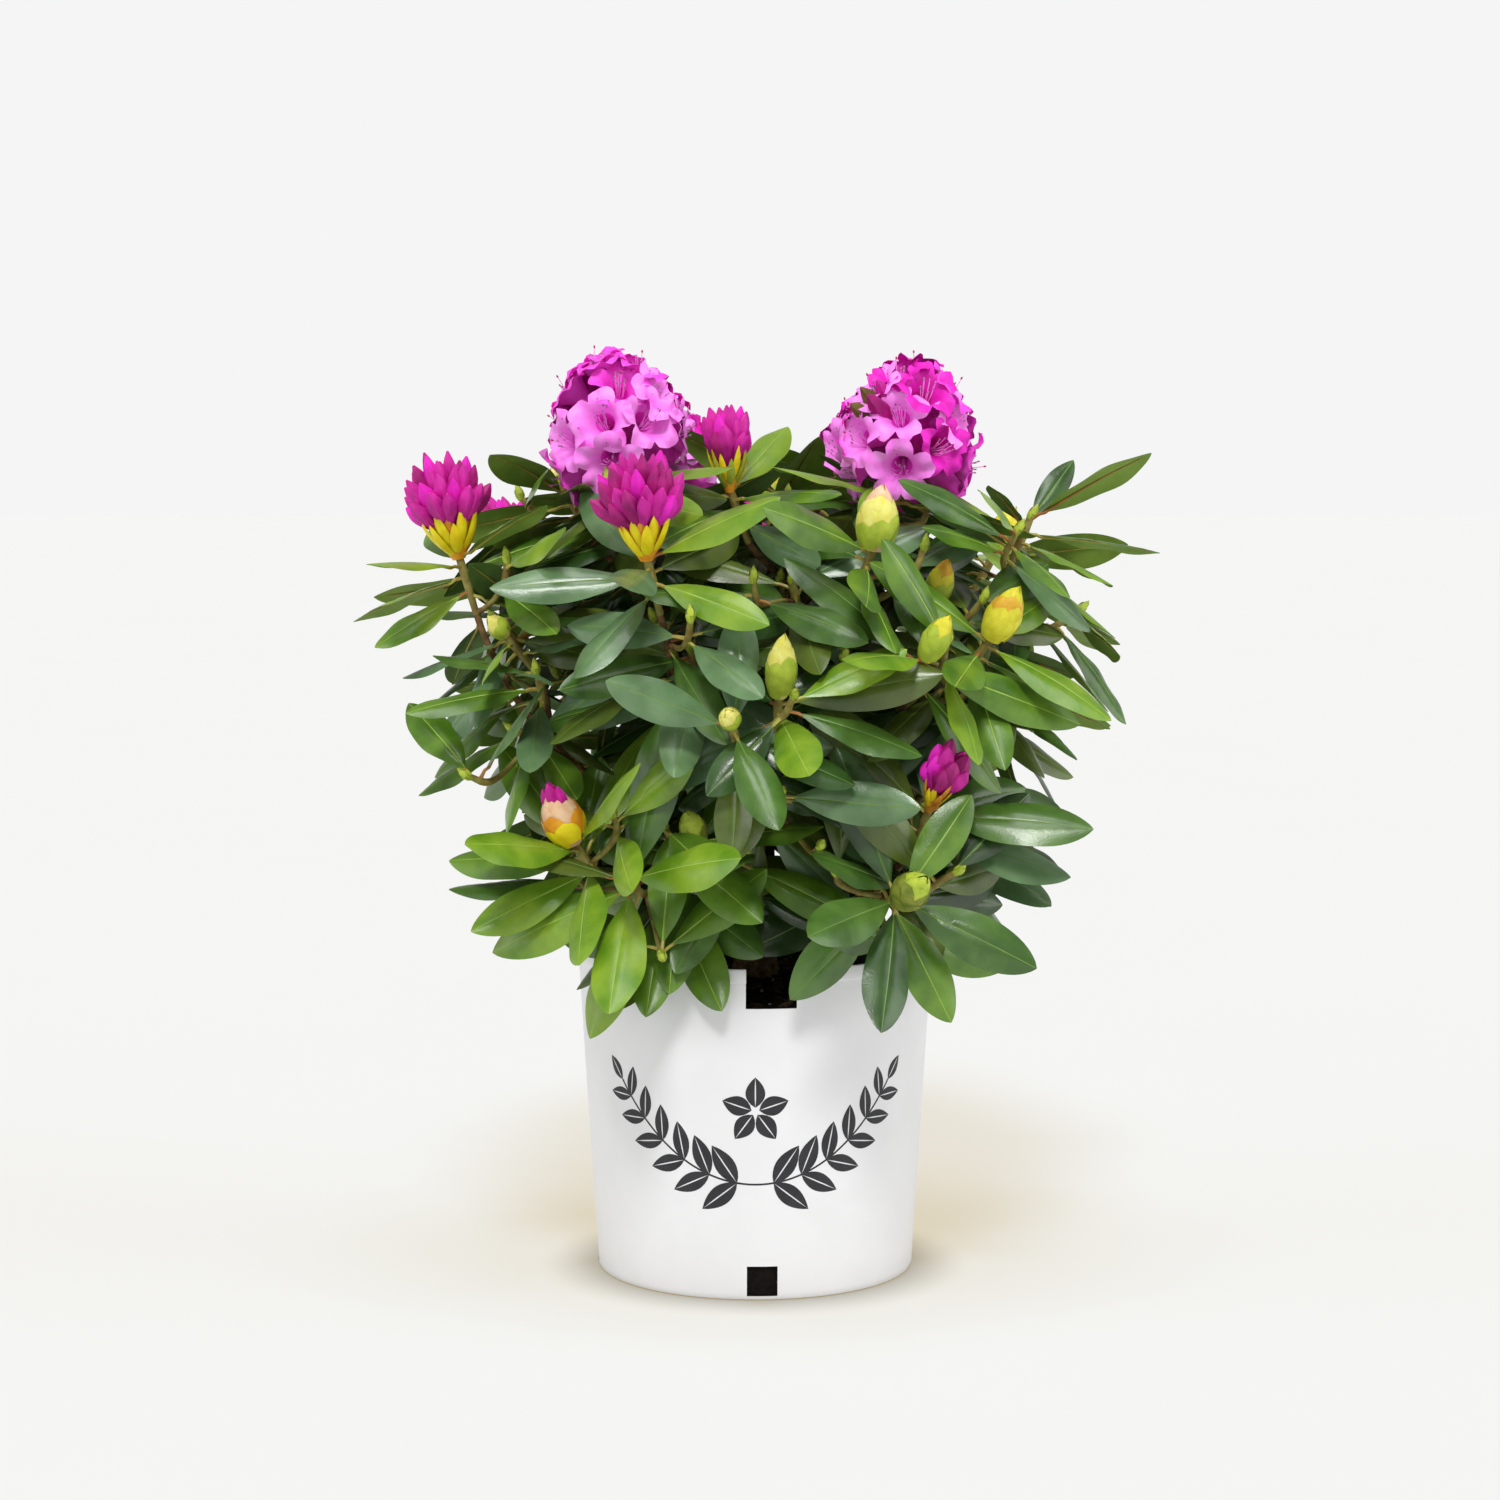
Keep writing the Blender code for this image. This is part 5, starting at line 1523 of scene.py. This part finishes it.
def make_pot():
    """The pot, white outside and black inside, with its notch and its drain holes."""
    lip_foot = POT_HEIGHT - LIP_HEIGHT
    profile = [
        (0, 0.0015), (POT_FOOT_RADIUS - 0.012, 0.0015), (POT_FOOT_RADIUS - 0.009, 0),
        (POT_FOOT_RADIUS - FOOT_CHAMFER, 0), (wall_radius(0) - 0.0008, 0.0009),
        (wall_radius(FOOT_CHAMFER), FOOT_CHAMFER), *((wall_radius(z), z) for z in WALL_RINGS),
        (wall_radius(lip_foot), lip_foot),
        (POT_TOP_RADIUS - 0.0003, lip_foot + LIP_STEP * 0.5), (POT_TOP_RADIUS, lip_foot + LIP_STEP),
        (POT_TOP_RADIUS, POT_HEIGHT - RIM_ROUND), (POT_TOP_RADIUS - 0.0004, POT_HEIGHT - 0.0004),
        (POT_TOP_RADIUS - RIM_ROUND, POT_HEIGHT), (wall_radius(POT_HEIGHT) - POT_WALL, POT_HEIGHT),
        (wall_radius(POT_FLOOR) - POT_WALL, POT_FLOOR), (0, POT_FLOOR),
    ]
    shape = bmesh.new()
    ring = [shape.verts.new((r, 0, z)) for r, z in profile]
    edges = [shape.edges.new((a, b)) for a, b in zip(ring, ring[1:])]
    bmesh.ops.spin(
        shape, geom=ring + edges, cent=(0, 0, 0), axis=(0, 0, 1), angle=2 * math.pi, steps=POT_STEPS, use_merge=True,
    )
    bmesh.ops.remove_doubles(shape, verts=shape.verts, dist=1e-6)
    bmesh.ops.recalc_face_normals(shape, faces=shape.faces)
    mesh = bpy.data.meshes.new("nursery_pot")
    shape.to_mesh(mesh)
    shape.free()
    pot = bpy.data.objects.new("nursery_pot", mesh)
    bpy.context.scene.collection.objects.link(pot)
    cutters = [pot_cutter(b, POT_FOOT_RADIUS, (CUT_DEPTH, DRAIN_SIDE, DRAIN_SIDE), DRAIN_SILL + DRAIN_SIDE / 2) for b in DRAIN_BEARINGS]
    cutters.append(pot_cutter(NOTCH_BEARING, POT_TOP_RADIUS, (CUT_DEPTH, NOTCH_WIDTH, NOTCH_DEPTH * 2), POT_HEIGHT))
    for cutter in cutters:
        cut = pot.modifiers.new("cut", "BOOLEAN")
        cut.operation, cut.object = "DIFFERENCE", cutter
    graph = bpy.context.evaluated_depsgraph_get()
    pot.data = bpy.data.meshes.new_from_object(pot.evaluated_get(graph))
    pot.modifiers.clear()
    for cutter in cutters:
        bpy.data.objects.remove(cutter)
    pot.data.name = "nursery_pot"
    pot.data.materials.clear()
    pot.data.materials.append(plastic_material("white_plastic", "e6e6e8", "e3e3e5", 0.36))
    pot.data.materials.append(plastic_material("black_plastic", "151517", "0e0e10", 0.45))
    for face in pot.data.polygons:
        out = Vector((face.center.x, face.center.y, 0))
        outside = out.length > wall_radius(face.center.z) - POT_WALL / 2 and face.normal.dot(out.normalized()) > 0.3
        face.material_index = 0 if outside or face.center.z < POT_FLOOR / 2 and face.normal.z < 0 else 1
    pot.data.shade_smooth()
    pot.data.set_sharp_from_angle(angle=SHARP_ANGLE)
    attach(pot, "root")
    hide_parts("pot")


def pot_cutter(bearing, reach, size, height):
    bpy.ops.mesh.primitive_cube_add(size=1, location=polar(bearing, reach, height))
    cutter = bpy.context.object
    cutter.scale = size
    cutter.rotation_euler.z = math.radians(bearing)
    return cutter


POT_STEPS = 160
WALL_RINGS = (0.006, 0.012, 0.034, 0.08, 0.16, 0.22, 0.238)
SOIL_RINGS, SOIL_SIDES = 26, 96
SOIL_BUMPS = 0.0035


def make_soil():
    """The potting mix: a crumbly surface, and bark chips and grit scattered over it."""
    edge = wall_radius(SOIL_EDGE_HEIGHT) - POT_WALL - GAP
    points, faces = [Vector((0, 0, SOIL_CROWN_HEIGHT))], []
    for i in range(1, SOIL_RINGS + 1):
        reach = edge * i / SOIL_RINGS
        slope = max(0, reach - SOIL_CROWN_RADIUS) / (edge - SOIL_CROWN_RADIUS)
        for k in range(SOIL_SIDES):
            spot = polar(360 * k / SOIL_SIDES, reach, 0)
            crumbs = noise.fractal(spot * 160, 0.7, 2.0, 4) * SOIL_BUMPS * min(1, (edge - reach) / 0.01 + 0.1)
            spot.z = eased(SOIL_CROWN_HEIGHT, SOIL_EDGE_HEIGHT, slope) + crumbs
            points.append(spot)
    floor = POT_FLOOR + GAP
    points += [polar(360 * k / SOIL_SIDES, wall_radius(floor) - POT_WALL - GAP, floor) for k in range(SOIL_SIDES)]
    points.append(Vector((0, 0, floor)))
    for k in range(SOIL_SIDES):
        after = (k + 1) % SOIL_SIDES
        faces.append((0, 1 + k, 1 + after))
        for i in range(SOIL_RINGS):
            a, b = 1 + i * SOIL_SIDES + k, 1 + i * SOIL_SIDES + after
            faces.append((a, a + SOIL_SIDES, b + SOIL_SIDES, b))
        faces.append((1 + SOIL_RINGS * SOIL_SIDES + k, len(points) - 1, 1 + SOIL_RINGS * SOIL_SIDES + after))
    shape = Shape("potting_mix", "potting_mix")
    shape.add(outward(points, faces), "soil")
    dice = random.Random("chips")
    for _ in range(CHIPS):
        reach, bearing = edge * 0.97 * math.sqrt(dice.random()), dice.uniform(0, 360)
        slope = max(0, reach - SOIL_CROWN_RADIUS) / (edge - SOIL_CROWN_RADIUS)
        spot = polar(bearing, reach, eased(SOIL_CROWN_HEIGHT, SOIL_EDGE_HEIGHT, slope) + dice.uniform(-0.0005, 0.002))
        grit = dice.random() < 0.12
        size = (0.003, 0.003, 0.0025) if grit else (dice.uniform(0.008, 0.02), dice.uniform(0.004, 0.009), 0.003)
        finish = "grit" if grit else dice.choice(("bark_chip", "bark_chip", "pale_chip"))
        shape.add(chip_body(spot, size, edge, dice), finish)
    shape.make("soil")


def chip_body(spot, size, edge, dice):
    """A small flake with a ragged outline, tilted at random."""
    turn, tilt = dice.uniform(0, 2 * math.pi), dice.uniform(-0.4, 0.4)
    ahead = Vector((math.cos(turn), math.sin(turn), math.sin(tilt))).normalized()
    side = ahead.cross(Vector((0, 0, 1))).normalized()
    up = side.cross(ahead)
    sides = 7
    points = []
    for height in (-0.5, 0.5):
        for k in range(sides):
            angle = 2 * math.pi * k / sides
            reach = dice.uniform(0.35, 0.5)
            point = spot + ahead * math.cos(angle) * size[0] * reach + side * math.sin(angle) * size[1] * reach
            points.append(point + up * size[2] * height * dice.uniform(0.6, 1))
    for point in points:
        flat = math.hypot(point.x, point.y)
        if flat > edge:
            point.x, point.y = point.x * edge / flat, point.y * edge / flat
    faces = [tuple(range(sides))[::-1], tuple(range(sides, 2 * sides))]
    for k in range(sides):
        after = (k + 1) % sides
        faces.append((k, after, sides + after, sides + k))
    return outward(points, faces)


CHIPS = 420
FINISHES["soil"] = Finish("140e0b", "080605", 0.004, 0.95, 0.0018, 0.001, 0.2)


# The printed garland on the front of the pot, in place of words: two leafy sprigs that curve up
# from its middle, and a blossom between them

GARLAND_BEARING = 270.0
GARLAND_FOOT, GARLAND_RISE, GARLAND_HALF = 0.090, 0.072, 0.114
GARLAND_START, GARLAND_PAIRS, GARLAND_CROWDING = 0.12, 6, 1.3
GARLAND_LEAF, GARLAND_SPREAD, GARLAND_TAPER = (0.034, 0.0076), 0.82, 0.38
BLOSSOM_HEIGHT, BLOSSOM_PETALS, BLOSSOM_HEART, BLOSSOM_PETAL = 0.146, 5, 0.003, (0.023, 0.0074)
STEM_INK = 0.0007
INK_PROUD, INK_SUNK = 0.00012, 0.0001


def on_pot(across, height, proud):
    """A point on the front of the pot: across runs round it, in metres."""
    ring = wall_radius(height) + proud
    return polar(GARLAND_BEARING + math.degrees(across / ring), ring, height)


def print_strip(shape, left, right):
    """A printed strip between two edges of equally many points, each (across, height)."""
    points, count = [], len(left)
    for proud in (INK_PROUD, -INK_SUNK):
        for edge in (left, right):
            points += [on_pot(x, z, proud) for x, z in edge]
    faces = []
    a, b, c, d = (range(count * i, count * (i + 1)) for i in range(4))
    for i in range(count - 1):
        faces.append((a[i], a[i + 1], b[i + 1], b[i]))
        faces.append((c[i + 1], c[i], d[i], d[i + 1]))
        faces.append((a[i + 1], a[i], c[i], c[i + 1]))
        faces.append((b[i], b[i + 1], d[i + 1], d[i]))
    faces.append((a[0], b[0], d[0], c[0]))
    faces.append((b[-1], a[-1], c[-1], d[-1]))
    shape.add(outward(points, faces), "ink")


def garland_place(hand, share):
    """A point on the stem of one of the two sprigs, and the way that the stem points there."""
    across = GARLAND_HALF * share
    slope = 2 * GARLAND_RISE * across / GARLAND_HALF ** 2
    height = GARLAND_FOOT + GARLAND_RISE * (across / GARLAND_HALF) ** 2
    return (hand * across, height), math.atan2(slope, hand)


def almond(shape, foot, angle, length, width):
    """A printed leaf with a bare line along its middle."""
    for hand in (-1, 1):
        inner, outer = [], []
        for i in range(11):
            t = i / 10
            belly = width * math.sin(math.pi * t ** 0.9) ** 0.85
            gap = 0.0005 * min(1, (1 - t) * 3) * min(1, t * 4)
            for edge, offset in ((inner, gap), (outer, max(belly, gap + 0.00005))):
                x, z = t * length, offset * hand
                edge.append((
                    foot[0] + x * math.cos(angle) - z * math.sin(angle),
                    foot[1] + x * math.sin(angle) + z * math.cos(angle),
                ))
        print_strip(shape, inner, outer)


def print_stem(shape, hand):
    edges = ([], [])
    for i in range(25):
        (x, z), way = garland_place(hand, i / 24)
        for edge, side in zip(edges, (1, -1)):
            edge.append((x - side * STEM_INK * math.sin(way), z + side * STEM_INK * math.cos(way)))
    print_strip(shape, *edges)


def make_print():
    """A garland of two leafy sprigs, with a blossom of five petals over its middle."""
    shape = Shape("printed_sprig")
    for hand in (-1, 1):
        print_stem(shape, hand)
        for i in range(GARLAND_PAIRS + 1):
            share = 1 - (1 - GARLAND_START) * (1 - i / GARLAND_PAIRS) ** GARLAND_CROWDING
            place, way = garland_place(hand, share)
            size = 1 - GARLAND_TAPER * i / GARLAND_PAIRS
            for side in (-1, 1) if i < GARLAND_PAIRS else (0,):
                almond(shape, place, way + side * GARLAND_SPREAD, GARLAND_LEAF[0] * size, GARLAND_LEAF[1] * size)
    for i in range(BLOSSOM_PETALS):
        turn = math.pi / 2 + i * math.tau / BLOSSOM_PETALS
        foot = (BLOSSOM_HEART * math.cos(turn), BLOSSOM_HEIGHT + BLOSSOM_HEART * math.sin(turn))
        almond(shape, foot, turn, *BLOSSOM_PETAL)
    shape.make()


# The camera, the floor and the lights

def make_camera():
    camera = bpy.data.objects.new("camera", bpy.data.cameras.new("camera"))
    bpy.context.scene.collection.objects.link(camera)
    camera.data.sensor_width = SENSOR
    camera.data.lens = FOCAL_PIXELS / PHOTO_SIDE * SENSOR
    camera.data.clip_start, camera.data.clip_end = 0.05, 60
    camera.location = CAMERA_PLACE
    camera.rotation_euler = (math.pi / 2 - CAMERA_DROP, 0, 0)
    bpy.context.scene.camera = camera


def make_floor():
    mesh = bpy.data.meshes.new("studio_floor")
    shape = bmesh.new()
    bmesh.ops.create_circle(shape, cap_ends=True, segments=96, radius=FLOOR_RADIUS)
    shape.to_mesh(mesh)
    shape.free()
    made, shader, place = new_material("studio_floor", 1.0, 0.0)
    cloud = noise_node(made, place, 0.6, 2)
    tint = ramp_node(made, cloud, ((0.3, colour(FLOOR_SHADES[0])), (0.7, colour(FLOOR_SHADES[1]))))
    # Painted contact shadow: an occlusion node darkens the floor's colour and dims its warm glow close to other things
    near = made.node_tree.nodes.new("ShaderNodeAmbientOcclusion")
    near.inputs["Distance"].default_value = CONTACT_SHADOW_REACH
    made.node_tree.links.new(tint, near.inputs["Color"])
    dim = tuple(c * CONTACT_SHADOW_SHARE for c in FLOOR_WARMTH) + (1,)
    glow_and_contact_shadow = ramp_node(made, near.outputs["AO"], ((0.5, dim), (0.95, FLOOR_WARMTH + (1,))))
    made.node_tree.links.new(glow_and_contact_shadow, shader.inputs["Emission Color"])
    made.node_tree.links.new(near.outputs["Color"], shader.inputs["Base Color"])
    # Painted light: the floor glows, so that its shadows stay faint
    shader.inputs["Emission Strength"].default_value = FLOOR_GLOW
    mesh.materials.append(made)
    floor = bpy.data.objects.new("studio_floor", mesh)
    bpy.context.scene.collection.objects.link(floor)


# The floor: its size, its two bluish base colours, the strength and warm colour of its painted glow, which keeps its
# shadows faint and warm, and the reach and depth of its painted contact shadow
FLOOR_RADIUS = 30.0
FLOOR_SHADES = ("889ebf", "899fc0")
FLOOR_GLOW, FLOOR_WARMTH = 0.613, (1.0, 0.81, 0.43)
CONTACT_SHADOW_REACH, CONTACT_SHADOW_SHARE = 0.05, 0.62
BACKDROP = "f5f5f5"

# The world: as bright as the backdrop near the horizon, and less bright overhead
SKY_SHARE = 0.34
SKY_HEIGHTS = (0.15, 0.32)

# Each light: its strength, how wide it is, how far it is tilted from overhead and turned, and its colour
LIGHTS = (
    ("key", 1.78, 14, 42, -4, (1.0, 0.995, 0.985)),
    ("top", 1.0, 30, 6, 0, (1.0, 1.0, 1.0)),
    ("left_fill", 0.5, 40, 68, -75, (1.0, 1.0, 1.0)),
    ("right_fill", 0.78, 40, 68, 75, (1.0, 1.0, 1.0)),
)


def make_lights():
    scene = bpy.context.scene
    world = bpy.data.worlds.new("studio")
    scene.world = world
    world.use_nodes = True
    back = world.node_tree.nodes["Background"]
    heading = world.node_tree.nodes.new("ShaderNodeTexCoord").outputs["Generated"]
    parts = world.node_tree.nodes.new("ShaderNodeSeparateXYZ")
    world.node_tree.links.new(heading, parts.inputs[0])
    bright = colour(BACKDROP)
    dim = tuple(c * SKY_SHARE for c in bright[:3]) + (1,)
    made = ramp_node(world, parts.outputs["Z"], ((SKY_HEIGHTS[0], bright), (SKY_HEIGHTS[1], dim)))
    world.node_tree.links.new(made, back.inputs["Color"])
    for name, strength, angle, tilt, turn, shade in LIGHTS:
        light = bpy.data.objects.new(name, bpy.data.lights.new(name, "SUN"))
        light.data.energy, light.data.angle = strength, math.radians(angle)
        light.data.color = shade
        light.rotation_euler = (math.radians(tilt), 0, math.radians(turn))
        scene.collection.objects.link(light)
    scene.view_settings.view_transform = "Standard"
    scene.view_settings.look = "None"


def main():
    make_camera()
    make_floor()
    make_lights()
    grown = grow()
    make_pot()
    make_soil()
    make_print()
    make_limbs()
    make_twigs(grown)
    make_leaves(grown)
    make_heads(grown)


main()
